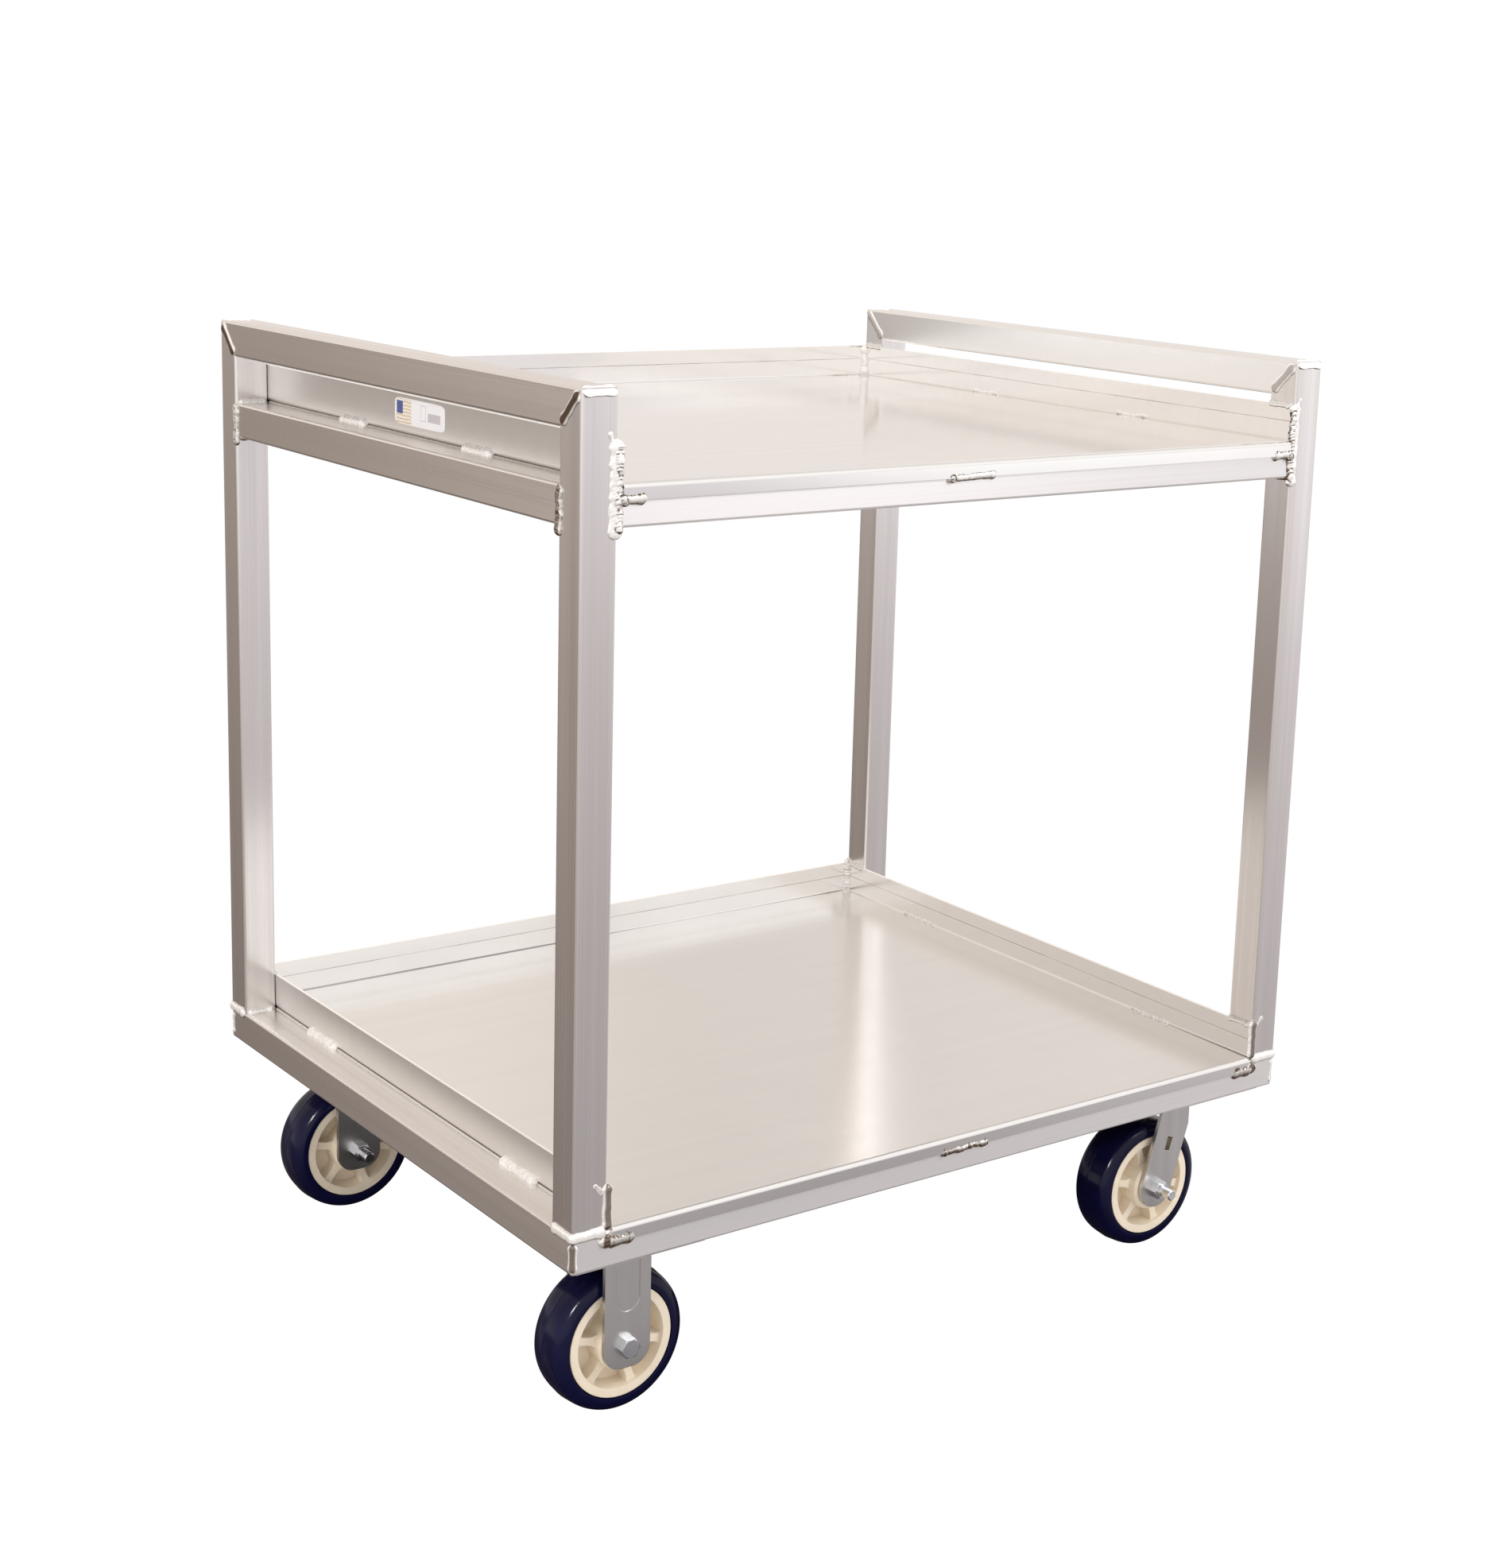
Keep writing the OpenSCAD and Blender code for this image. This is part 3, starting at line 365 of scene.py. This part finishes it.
# Label place on the outside of the upper left flange: a blank white vinyl label with rounded
# corners and a few plain blocks of colour, stuck between the two stitches.
def label_vinyl(mid_y, mid_z):
    """White vinyl set out from the label's middle: pale ochre waves on the left third, a plain blue block
    over them, an empty frame and a plain grey block."""
    m, t, shader, where = surface("white_vinyl")
    place = add(t, "ShaderNodeSeparateXYZ", {0: where})
    blur = 0.0001

    def within(centre_y, centre_z, half_width, half_height):
        """1 inside a box about a point measured from the label's middle, and 0 outside it."""
        masks = []
        for way, centre, half in (("Y", mid_y + centre_y, half_width), ("Z", mid_z + centre_z, half_height)):
            off = calc(t, "ABSOLUTE", calc(t, "SUBTRACT", place.outputs[way], centre))
            masks.append(span(t, off, half - blur, half + blur, 1.0, 0.0))
        return calc(t, "MULTIPLY", *masks)

    waves = add(t, "ShaderNodeTexWave", {"Vector": where, "Scale": 90.0, "Distortion": 2.5, "Detail": 1.0},
                bands_direction="Z")
    left_third = calc(t, "MULTIPLY", within(0.034, 0.0, 0.0165, 0.0125), waves.outputs[1])
    tint = blend(t, left_third, "FCFBFE", "E2C89A")
    for box, colour in (
            ((0.0425, 0.0035, 0.0065, 0.0065), "4F609F"), ((-0.008, 0.0015, 0.0055, 0.0080), "C9C8D2"),
            ((-0.008, 0.0015, 0.0048, 0.0073), "FCFBFE"), ((-0.031, -0.0015, 0.013, 0.0045), "CFCBD2")):
        tint = blend(t, within(*box), tint, colour)
    put(t, shader, {"Base Color": tint, "Roughness": 0.35})
    return m


def grid_faces(rows, columns, closed=False):
    """Four-sided faces of a grid that closes round its columns, and round its rows too if closed."""
    i, j = np.meshgrid(np.arange(rows if closed else rows - 1), np.arange(columns), indexing="ij")
    row, next_row, j2 = i * columns, (i + 1) % rows * columns, (j + 1) % columns
    return np.stack([row + j, row + j2, next_row + j2, next_row + j], -1).reshape(-1, 4)


def grid_caps(rows, columns):
    """Triangles from the grid's first and last rows to the two vertices that follow the grid."""
    k = np.arange(columns)
    k2, last_row, middle = (k + 1) % columns, (rows - 1) * columns, np.full(columns, rows * columns)
    return np.vstack([np.stack([k2, k, middle], 1), np.stack([last_row + k, last_row + k2, middle + 1], 1)])


def outward(mesh, crease=None):
    """Turns all faces outward. With a crease in degrees, they shade smoothly over all edges less sharp."""
    b = bmesh.new()
    b.from_mesh(mesh)
    bmesh.ops.recalc_face_normals(b, faces=b.faces)
    if crease is not None:
        for f in b.faces:
            f.smooth = True
        for e in b.edges:
            e.smooth = e.calc_face_angle(0.0) < math.radians(crease)
    b.to_mesh(mesh)
    b.free()


def label(width, height, thick, x, mid_y, mid_z):
    """A rounded rectangle |y/a|^8 + |z/b|^8 = 1 drawn as rings that shrink to the middle, its rim turned back
    by thick."""
    q = np.linspace(0.0, 2.0 * np.pi, 128, endpoint=False)
    power = 2.0 / 8.0
    rim_y = width / 2 * np.sign(np.cos(q)) * np.abs(np.cos(q)) ** power
    rim_z = height / 2 * np.sign(np.sin(q)) * np.abs(np.sin(q)) ** power
    share = np.array([0.999, 1.0, 1.0, 0.998, 0.66, 0.33])
    rise = np.array([0.0, 0.3, 0.8, 1.0, 1.0, 1.0]) * thick
    y = mid_y + share[:, None] * rim_y
    z = mid_z + share[:, None] * rim_z
    verts = np.stack([np.broadcast_to(x - rise[:, None], y.shape), y, z], -1).reshape(-1, 3)
    verts = np.vstack([verts, [x, mid_y, mid_z], [x - thick, mid_y, mid_z]])
    faces = grid_faces(share.size, q.size).tolist() + grid_caps(share.size, q.size).tolist()
    mesh = bpy.data.meshes.new("blank_label")
    mesh.from_pydata(verts.tolist(), [], faces)
    outward(mesh)
    o = show("blank_label", mesh, label_vinyl(mid_y, mid_z))
    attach(o, "cart")


label(width=0.1070, height=0.0270, thick=0.00015, x=-0.43192, mid_y=-0.0102, mid_z=0.9697)

# Welds: bright aluminium beads laid as overlapping drops by hand, fuller where a bead starts or
# stops, with brown soot in the hollows and along some toes, and painted shade where they face down. A
# pale filler with a thin dark line, painted shade in the crevice, closes the seam between each pan's
# folded ends and the end rails.
edge_r, tube = 0.003, 0.0381
half_l, half_w, shift_y = 0.470, 0.3875, 0.0008
inner, inner_w = half_l - tube, half_w - tube
base_z, shelf_z, top_z = 0.2346, 0.9455, 1.0344
pan_t, flange_h, lip_h = 0.0032, 0.0413, 0.016


def unit(v):
    """A vector, or each row of an array, at length 1."""
    return v / np.linalg.norm(v, axis=-1, keepdims=True)


def bead(path, up, width, height, depth, seed, pitch=0.0020, ripple=0.10, wobble=0.08, core=0.0,
         toe=(0.3, 0.3), hollow=0.4):
    """One bead as a closed grid round a path: side = -w/2 cos a, up = h sin a above and d sin a below.

    w and h taper to the ends as sqrt(1 - (1 - s)^2) and wander with slow noise; h falls by the share ripple
    between crests |sin(pi (s' - 0.35 w sin a) / pitch)|^0.7, s' being s with noise. Soot marks, and painted
    shade in crevices: middle, toes, hollows.
    """
    rng = np.random.default_rng(seed)
    path, up = np.asarray(path, float), np.asarray(up, float)
    s_at = np.concatenate([[0.0], np.cumsum(np.linalg.norm(np.diff(path, axis=0), axis=1))])
    total = s_at[-1]
    spacing = min(pitch / 4.0, 0.0009) if ripple > 0 else 0.004
    n, around = max(int(total / spacing), 28), 24
    s = np.linspace(0.0, total, n)
    p = np.stack([np.interp(s, s_at, path[:, k]) for k in range(3)], 1)
    u = unit(np.stack([np.interp(s, s_at, up[:, k]) for k in range(3)], 1))
    side = unit(np.cross(unit(np.gradient(p, axis=0)), u))
    knots = max(int(total / 0.005) + 2, 4)

    def wander(count):
        """Slow noise from -1 to 1 along the bead, straight between its knots."""
        return np.interp(s, np.linspace(0, total, count), rng.uniform(-1, 1, count))

    from_end = np.minimum(s, total - s)
    near = np.minimum(from_end / (width * 0.55), 1.0)
    taper = np.sqrt(np.clip(1.0 - (1.0 - near) ** 2, 0.0, 1.0))
    drop = 1.0 + 0.18 * np.exp(-((from_end - width * 0.5) / (width * 0.4)) ** 2)
    w = width * 0.5 * taper * drop * (1.0 + wobble * wander(knots))
    h = height * taper * drop * (1.0 + wobble * wander(knots))
    drift = width * 0.5 * wobble * wander(knots)
    a = np.linspace(0.0, 2.0 * np.pi, around, endpoint=False)
    sa, ca = np.sin(a)[None, :], np.cos(a)[None, :]
    along = s + 0.6 * pitch * wander(2 * knots)
    crest = np.abs(np.sin(np.pi * (along[:, None] - 0.35 * width * sa) / pitch)) ** 0.7
    rise = np.where(sa > 0, h[:, None] * (1.0 - ripple * (1.0 - crest)), depth * taper[:, None]) * sa
    out = -w[:, None] * (1.0 - 0.3 * ripple * (1.0 - crest)) * ca + drift[:, None]
    verts = p[:, None, :] + side[:, None, :] * out[:, :, None] + u[:, None, :] * rise[:, :, None]
    middle = core * np.clip((0.80 - np.abs(ca)) / 0.25, 0.0, 1.0) * (sa > -0.2)
    edge = np.where(ca > 0, toe[0], toe[1]) * np.clip((np.abs(ca) - 0.78) / 0.12, 0.0, 1.0)
    marks = np.stack([middle + 0 * crest, edge + 0 * crest, hollow * (1.0 - crest) ** 1.5], -1)
    verts = np.vstack([verts.reshape(-1, 3), p[:1], p[-1:]])
    marks = np.vstack([marks.reshape(-1, 3), np.zeros((2, 3))])
    return verts, grid_faces(n, around), grid_caps(n, around), marks


def bead_object(name, beads, material, node):
    """All beads of a CAD weld node in one mesh, riding on the cart."""
    starts_at = np.cumsum([0] + [len(v) for v, _, _, _ in beads])
    verts = np.vstack([v for v, _, _, _ in beads])
    quads = np.vstack([f + k for (_, f, _, _), k in zip(beads, starts_at)])
    tris = np.vstack([c + k for (_, _, c, _), k in zip(beads, starts_at)])
    marks = np.vstack([m for _, _, _, m in beads])
    loops = np.concatenate([quads.ravel(), tris.ravel()])
    starts = np.concatenate([np.arange(len(quads)) * 4, quads.size + np.arange(len(tris)) * 3])
    mesh = bpy.data.meshes.new(name)
    mesh.vertices.add(len(verts))
    mesh.vertices.foreach_set("co", verts.astype(np.float32).ravel())
    mesh.loops.add(len(loops))
    mesh.loops.foreach_set("vertex_index", loops.astype(np.int32))
    mesh.polygons.add(len(starts))
    mesh.polygons.foreach_set("loop_start", starts.astype(np.int32))
    mesh.polygons.foreach_set("use_smooth", np.ones(len(starts), bool))
    mesh.update(calc_edges=True)
    mesh.validate()
    soot_and_shade = mesh.attributes.new("soot_and_shade", "FLOAT_VECTOR", "POINT")
    soot_and_shade.data.foreach_set("vector", marks.astype(np.float32).ravel())
    outward(mesh)
    o = show(name, mesh, material)
    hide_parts(node)
    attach(o, "cart")


def weld_metal():
    """Weld metal under its white oxide, half metallic and softly glossy, with a fine frost at 1 mm. Brown
    soot, with painted shade in crevices: core + (toe + hollow) broken by noise at 3 mm, + painted shade by
    the share by which the surface faces down."""
    m, t, shader, where = surface("weld_aluminium")
    soot_and_shade_marks = add(t, "ShaderNodeAttribute", attribute_name="soot_and_shade").outputs["Vector"]
    core, toe, hollow = add(t, "ShaderNodeSeparateXYZ", {0: soot_and_shade_marks}).outputs
    facing = add(t, "ShaderNodeSeparateXYZ", {0: add(t, "ShaderNodeNewGeometry").outputs["Normal"]})
    # Painted shade: faces turned down are darkened towards brown.
    under = span(t, facing.outputs["Z"], -0.25, -0.75, 0.0, 0.95)
    frost = noise(t, where, 900.0, 3.0)
    patchy = span(t, noise(t, where, 330.0, 2.0), 0.38, 0.58, 0.25, 1.0)
    soot_and_shade = calc(t, "MULTIPLY_ADD", calc(t, "ADD", toe, hollow), patchy, core)
    soot_and_shade = calc(t, "ADD", soot_and_shade, under, clamp=True)
    put(t, shader, {"Base Color": blend(t, soot_and_shade, "FFFDFB", "54402F"), "Metallic": 0.5,
                    "Roughness": span(t, frost, 0.3, 0.7, 0.20, 0.34),
                    "Normal": bumps(t, frost, 0.2, 0.0002)})
    return m


def at(sx, sy, x, y, z):
    """A place given for the back right corner, carried to the corner whose end and side have these signs."""
    return sx * x, sy * y + shift_y, z


def line(a, b, up, size, seed, **more):
    """A straight bead from a to b. Its size is its width, height and depth."""
    return bead([a, b], [up, up], *size, seed, **more)


def crater(centre, up, radius, seed):
    """The ring left where an arc was broken off: a thin bead round most of a circle across up."""
    up = unit(np.array(up, float))
    first = unit(np.cross(up, (0.0, 0.0, 1.0)))
    second = np.cross(up, first)
    q = np.radians(np.linspace(10.0, 350.0, 33))[:, None]
    path = np.array(centre, float) + radius * (np.cos(q) * first + np.sin(q) * second)
    return bead(path, np.tile(up, (len(q), 1)), 0.0026, 0.0013, 0.0012, seed, pitch=0.004, core=0.8,
                toe=(0.5, 0.5))


def corner_beads(sx, sy, z, seed, upper):
    """Beads of one shelf at one corner of the cart: sx and sy are the signs of its end and side."""
    out = []
    front, outside = sy < 0, (0, sy, 0)
    over, under = z + flange_h, z - tube
    side_y, rail_y = half_w - 0.0002, half_w - edge_r
    smooth = {"toe": (0.0, 0.0), "hollow": 0.0}

    def lay(a, b, up, size, number, **more):
        """Adds a straight bead between two places given for the back right corner."""
        out.append(line(at(sx, sy, *a), at(sx, sy, *b), up, size, seed + number, **more))

    if upper:
        # Beside the upper rail: a broad pad, a rippled bead along it and a short tail at its top.
        pad = inner + 0.0018, half_w - 0.0004
        lay((*pad, under - 0.0105), (*pad, over + 0.0020), outside, (0.0135, 0.0022, 0.0030), 1,
            pitch=0.009, ripple=0.05, wobble=0.10, toe=(0.05, 0.05))
        lay((inner - 0.0014, side_y, under - 0.0060), (inner - 0.0014, side_y, over - 0.0010),
            outside, (0.0088, 0.0036, 0.0030), 2, pitch=0.0048, ripple=0.34, wobble=0.30,
            toe=(0.15, 0.9) if sx * sy > 0 else (0.9, 0.15), hollow=1.6)
        lay((inner + 0.0035, side_y, over - 0.0050), (inner + 0.0085, side_y, over + 0.0085),
            outside, (0.0048, 0.0010, 0.0010), 14, pitch=0.004, ripple=0.1, wobble=0.3, toe=(0.5, 0.1))
        # Round the end rail: on its outer face, over it, under it, and under the side rail.
        lay((half_l, inner_w + 0.0005, under - 0.0095), (half_l, inner_w + 0.0005, z - 0.0005),
            (sx, 0, 0), (0.0118, 0.0026, 0.0030), 6, pitch=0.0034, ripple=0.25, wobble=0.16,
            core=0.75 if front else 0.35, hollow=0.8)
        for number, face_z, facing in ((7, z, 1), (8, under, -1)):
            lay((half_l - edge_r, inner_w, face_z), (inner + 0.0015, inner_w, face_z), (0, -sy, facing),
                (0.0095, 0.0034, 0.0015), number, ripple=0.06, wobble=0.12, toe=(0.2, 0.2), hollow=0.2)
        lay((inner, inner_w + edge_r, under), (inner, rail_y, under), (-sx, 0, -1),
            (0.0085, 0.0036, 0.0015), 9, pitch=0.0045, ripple=0.3, wobble=0.15, core=0.5)
    else:
        # Beside the leg: a fine bead up the pan's end, and a short tail at its top.
        lay((inner, side_y, z + 0.0010), (inner, side_y, over + 0.0060), outside, (0.0100, 0.0034, 0.0030), 1,
            pitch=0.0018, ripple=0.05, wobble=0.07, core=0.85 if front else 0.4, **smooth)
        lay((inner + 0.0045, side_y, over - 0.0030), (inner + 0.0155, side_y, over + 0.0080),
            outside, (0.0046, 0.0008, 0.0010), 14, pitch=0.004, ripple=0.1, wobble=0.3, core=0.25,
            toe=(0.4, 0.1))
        # Round the leg's foot, outside and inside, and down the mitre of the base rails.
        turning = np.linspace(0.0, np.pi / 2, 9)
        arc_x, arc_y = half_l - edge_r + edge_r * np.sin(turning), rail_y + edge_r * np.cos(turning)
        path = [(inner + 0.001, half_w, z), *((x, y, z) for x, y in zip(arc_x, arc_y)),
                (half_l, inner_w + 0.001, z)]
        ups = [outside, *((sx * np.sin(q), sy * np.cos(q), 0) for q in turning), (sx, 0, 0)]
        out.append(bead([at(sx, sy, *place) for place in path], ups, 0.0106, 0.0030, 0.0032, seed + 10,
                        ripple=0.05, wobble=0.07, toe=(0.25, 0.25), hollow=0.2))
        lay((half_l - edge_r, inner_w, z), (inner + edge_r, inner_w, z), (0, -sy, 1),
            (0.0085, 0.0036, 0.0015), 11, wobble=0.15)
        mitre = half_l - edge_r * 0.7, half_w - edge_r * 0.7
        lay((*mitre, under + 0.0030), (*mitre, z - 0.0060), (sx, sy, 0), (0.0086, 0.0014, 0.0020), 12,
            pitch=0.0018, ripple=0.0, wobble=0.01, core=0.85, **smooth)
    # On the top edge of the pan's folded end.
    lay((inner - 0.0003, rail_y, over), (inner - 0.0003, inner_w, over), (-sx, 0, 1),
        (0.0090, 0.0028, 0.0010), 3, ripple=0.16, wobble=0.14, core=0.25)
    if front:
        # Under the lip's end, with a crater above and a filled gap beside the leg below.
        lip_z, lip_y = z + pan_t - lip_h, half_w + 0.0010
        lay((inner + 0.001, lip_y, lip_z + 0.0005), (inner - 0.031, lip_y, lip_z + 0.0005), (0, sy, -0.5),
            (0.0105 if upper else 0.0135, 0.0036, 0.0020), 4, pitch=0.008, ripple=0.10, wobble=0.08,
            core=0.0 if upper else 0.5, toe=(0.1, 1.0) if sx > 0 else (1.0, 0.1))
        if upper:
            out.append(crater(at(sx, sy, inner - 0.0055, half_w + 0.0040, lip_z - 0.0010), outside, 0.0034,
                              seed + 13))
        else:
            lay((inner, half_w + 0.0005, z - 0.0175), (inner, half_w + 0.0005, z - 0.0030), outside,
                (0.0160, 0.0036, 0.0020), 5, pitch=0.02, ripple=0.0, wobble=0.05, core=0.9, toe=(0.0, 0.0))
    else:
        # Up the pan's inner back corner.
        lay((inner - pan_t, half_w - pan_t, z + pan_t - 0.0025), (inner - pan_t, half_w - pan_t, over),
            (-sx, -sy, 0), (0.0125, 0.0058, 0.0030), 5, pitch=0.0108, ripple=0.35, wobble=0.12, core=-0.8,
            toe=(0.4, 0.4), hollow=0.9)
    return out


def stitch_beads(z, share, length, seed):
    """Stitches along the folds at both ends of one shelf, and the filler and a thin dark line between each
    fold and its rail; the line is painted shade in the crevice."""
    out = []
    for sx in (-1, 1):
        # The second of these is the thin dark line in the crevice under the fold: painted shade.
        for k, (off, width, height, soot_and_shade_share) in enumerate(
                ((0.0003, 0.0050, 0.0002, 0.3), (0.0012, 0.0014, 0.0006, 1.0))):
            ends = [at(sx, sy, inner - off, inner_w, z + off) for sy in (-1, 1)]
            out.append(line(*ends, (sx, 0, 1), (width, height, 0.0015), seed + 20 + 2 * sx + k, pitch=0.02,
                            ripple=0.0, wobble=0.04, core=soot_and_shade_share, toe=(soot_and_shade_share, soot_and_shade_share), hollow=0.0))
        for sy in (-1, 1):
            ends = [at(sx, sy, inner + 0.0005, share * half_w + sy * way * length / 2, z + 0.0012)
                    for way in (-1, 1)]
            out.append(line(*ends, (sx, 0, 1), (0.0132, 0.0054, 0.0030), seed + 2 * sx + sy, pitch=0.0085,
                            ripple=0.20, wobble=0.12, core=0.0, toe=(0.1, 0.25), hollow=0.3))
    return out


def handle_beads():
    """Mitre welds on both faces of the four handle corners, and over the seam along each top edge."""
    out = []
    smooth = {"toe": (0.0, 0.0), "hollow": 0.0}
    top_y = half_w - 0.0006
    for k, (sx, sy) in enumerate(signs):
        for face, x in ((1, half_l), (-1, inner)):
            ends = (at(sx, sy, x, half_w - 0.0045, top_z - 0.0045),
                    at(sx, sy, x, inner_w + 0.0030, top_z - tube + 0.0030))
            out.append(line(*ends, (sx * face, 0, 0), (0.0108, 0.0018, 0.0010), 500 + 4 * k + face,
                            pitch=0.0018, ripple=0.04, wobble=0.04, core=1.0 if sx < 0 else 0.55, **smooth))
        ends = (at(sx, sy, x, top_y, top_z - 0.0030) for x in (half_l - 0.0008, inner + 0.0008))
        out.append(line(*ends, (0, sy, 0.8), (0.0110, 0.0016, 0.0040), 520 + k, ripple=0.03, wobble=0.05,
                        **smooth))
    return out


signs = [(sx, sy) for sx in (-1, 1) for sy in (-1, 1)]
upper, lower = [], []
for k, (sx, sy) in enumerate(signs):
    upper += corner_beads(sx, sy, shelf_z, 100 + 20 * k, True)
    lower += corner_beads(sx, sy, base_z, 300 + 20 * k, False)
upper += stitch_beads(shelf_z, share=0.345, length=0.058, seed=700)
lower += stitch_beads(base_z, share=0.575, length=0.070, seed=740)
lip_y, face_y = -half_w + shift_y - 0.0008, -half_w + shift_y + 0.0027
upper_lip_z, lower_lip_z = shelf_z + pan_t - lip_h, base_z + pan_t - lip_h
upper += [
    line((-0.0440, lip_y, upper_lip_z), (0.0090, lip_y, upper_lip_z + 0.0015), (0, -1, -0.5),
         (0.0085, 0.0034, 0.0020), 720, pitch=0.004, ripple=0.15, wobble=0.15, toe=(1.0, 0.3)),
    crater((-0.0480, lip_y - 0.0015, upper_lip_z), (0, -1, 0), 0.0036, 721)]
lower += [
    line((-0.0258, lip_y, lower_lip_z), (0.0393, lip_y, lower_lip_z + 0.0010), (0, -1, -0.5),
         (0.0095, 0.0038, 0.0020), 760, pitch=0.0125, ripple=0.35, wobble=0.25, core=0.8, toe=(0.9, 0.2)),
    line((-0.0262, face_y, lower_lip_z - 0.0050), (-0.0300, face_y, lower_lip_z - 0.0150), (0, -1, 0),
         (0.0018, 0.0004, 0.0010), 761, core=0.9),
    line((0.0700, face_y, lower_lip_z - 0.0020), (0.0700, face_y, lower_lip_z - 0.0080), (0, -1, 0),
         (0.0030, 0.0006, 0.0010), 762, core=0.9)]
bright = weld_metal()
bead_object("upper_weld_beads", upper, bright, "upper_welds")
bead_object("lower_weld_beads", lower, bright, "lower_welds")
bead_object("handle_weld_beads", handle_beads(), bright, "handle_welds")

# Corner plates and the bolts that hold the casters: plain plate of the same
# aluminium and zinc-plated hexagon bolts, seen only from below.
plating = {"relief": 0.00003, "edge": 0.0006}
zinc = mill_metal("zinc_plated_steel", "DCDBD9", "CAC9C7", 0.34, along=2, across_mm=0.5, blotch=0.85,
                  **plating)
bolt_zinc = mill_metal("zinc_plated_bolts", "EDEEF2", "CDD0D6", 0.12, along=1, across_mm=0.4, blotch=0.7,
                       **plating)
for corner in corners:
    smooth_copy(f"corner_plate_{corner}", tube_metal["y"], "cart")
smooth_copy("caster_bolts", bolt_zinc, "cart")
smooth_copy("caster_nuts", bolt_zinc, "cart")

# Fork, axle and swivel head of each caster: pressed steel with dull zinc plating, bolted under a
# corner plate; the axle's bolt, nut and sleeve are brighter, as are the king pin and the balls.
caster_crease = 35.0
for corner in corners:
    right = corner.endswith("right")
    holder = f"swivel_{corner}" if right else "cart"
    smooth_copy(f"fork_{corner}", zinc, holder, caster_crease)
    for piece in ("axle_bolt", "axle_nut", "axle_sleeve"):
        smooth_copy(f"{piece}_{corner}", bolt_zinc, holder, caster_crease)
    if right:
        smooth_copy(f"top_plate_{corner}", zinc, "cart", caster_crease)
        smooth_copy(f"king_pin_{corner}", bolt_zinc, "cart", caster_crease)
        smooth_copy(f"ball_ring_{corner}", bolt_zinc, holder, caster_crease)

# Wheels: cream moulded polyolefin hub, roller bearing, and a cast tread of dark
# blue polyurethane, glossy, with the mould's parting line round its middle.
def moulded_plastic():
    """Moulded plastic: eggshell gloss, a fine grain of 0.4 mm, and slow shading where it is thicker."""
    m, t, shader, where = surface("cream_polyolefin")
    rounded = add(t, "ShaderNodeBevel", {"Radius": 0.0016}, samples=6).outputs[0]
    put(t, shader, {
        "Base Color": blend(t, noise(t, where, 30.0, 2.0), "E4D6BE", "F2E8D8"), "Roughness": 0.42,
        "Subsurface Weight": 0.15, "Subsurface Radius": (0.004, 0.003, 0.002), "Subsurface Scale": 1.0,
        "Normal": bumps(t, noise(t, where, 2600.0, 2.0), 0.06, 0.0002, Normal=rounded)})
    return m


def cast_urethane():
    """Cast polyurethane: near-black blue under a clear gloss, with faint flow marks and dust."""
    m, t, shader, where = surface("dark_blue_polyurethane")
    flow, dust = noise(t, where, 45.0, 3.0), noise(t, where, 700.0, 4.0)
    put(t, shader, {
        "Base Color": blend(t, flow, "05051A", "0B0B2C"), "Roughness": span(t, dust, 0.3, 0.8, 0.10, 0.24),
        "Specular IOR Level": 0.2, "Normal": bumps(t, flow, 0.2, 0.0004)})
    return m


hub_plastic = moulded_plastic()
urethane = cast_urethane()


def tread(corner):
    """Tread turned about the axle: outer radius R - 3 k^2 - 7 k^8 mm over the width k = -1..1, with a parting
    line 0.4 exp(-(y / 0.6)^2) mm high, and side walls that bulge by 0.6 sin(pi t) mm."""
    low, high = (np.array(c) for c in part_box(f"tread_{corner}"))
    centre, radius = (low + high) / 2, (high[2] - low[2]) / 2
    half = (high[1] - low[1]) / 2
    crown, shoulder, parting, parting_half = 0.0030, 0.0070, 0.0004, 0.0006
    inner_r, bulge, around = radius - 0.0175, 0.0006, 192
    k = np.sin(np.linspace(-np.pi / 2, np.pi / 2, 61))
    outer = radius - crown * k ** 2 - shoulder * k ** 8 + parting * np.exp(-(k * half / parting_half) ** 2)
    wall = np.linspace(0.0, 1.0, 7)[1:]
    r = np.concatenate([outer, outer[-1] + (inner_r - outer[-1]) * wall,
                        inner_r + (outer[0] - inner_r) * wall[:-1]])
    side = half + bulge * np.sin(wall * np.pi)
    w = np.concatenate([k * half, side, -side[:-1]])
    a = np.linspace(0.0, 2.0 * np.pi, around, endpoint=False)[:, None]
    verts = centre + np.stack([r * np.cos(a), np.broadcast_to(w, (around, w.size)), r * np.sin(a)], -1)
    mesh = bpy.data.meshes.new(f"tread_{corner}_shown")
    mesh.from_pydata(verts.reshape(-1, 3).tolist(), [], grid_faces(around, r.size, closed=True).tolist())
    outward(mesh, crease=50.0)
    o = show(f"tread_{corner}_shown", mesh, urethane)
    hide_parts(f"tread_{corner}")
    wheel_gloss.objects.link(o)
    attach(o, f"wheel_{corner}")


for corner in corners:
    smooth_copy(f"hub_{corner}", hub_plastic, f"wheel_{corner}", caster_crease)
    smooth_copy(f"bearing_{corner}", bolt_zinc, f"wheel_{corner}", caster_crease)
    tread(corner)

# Picture settings.
scene.view_settings.view_transform = "Standard"
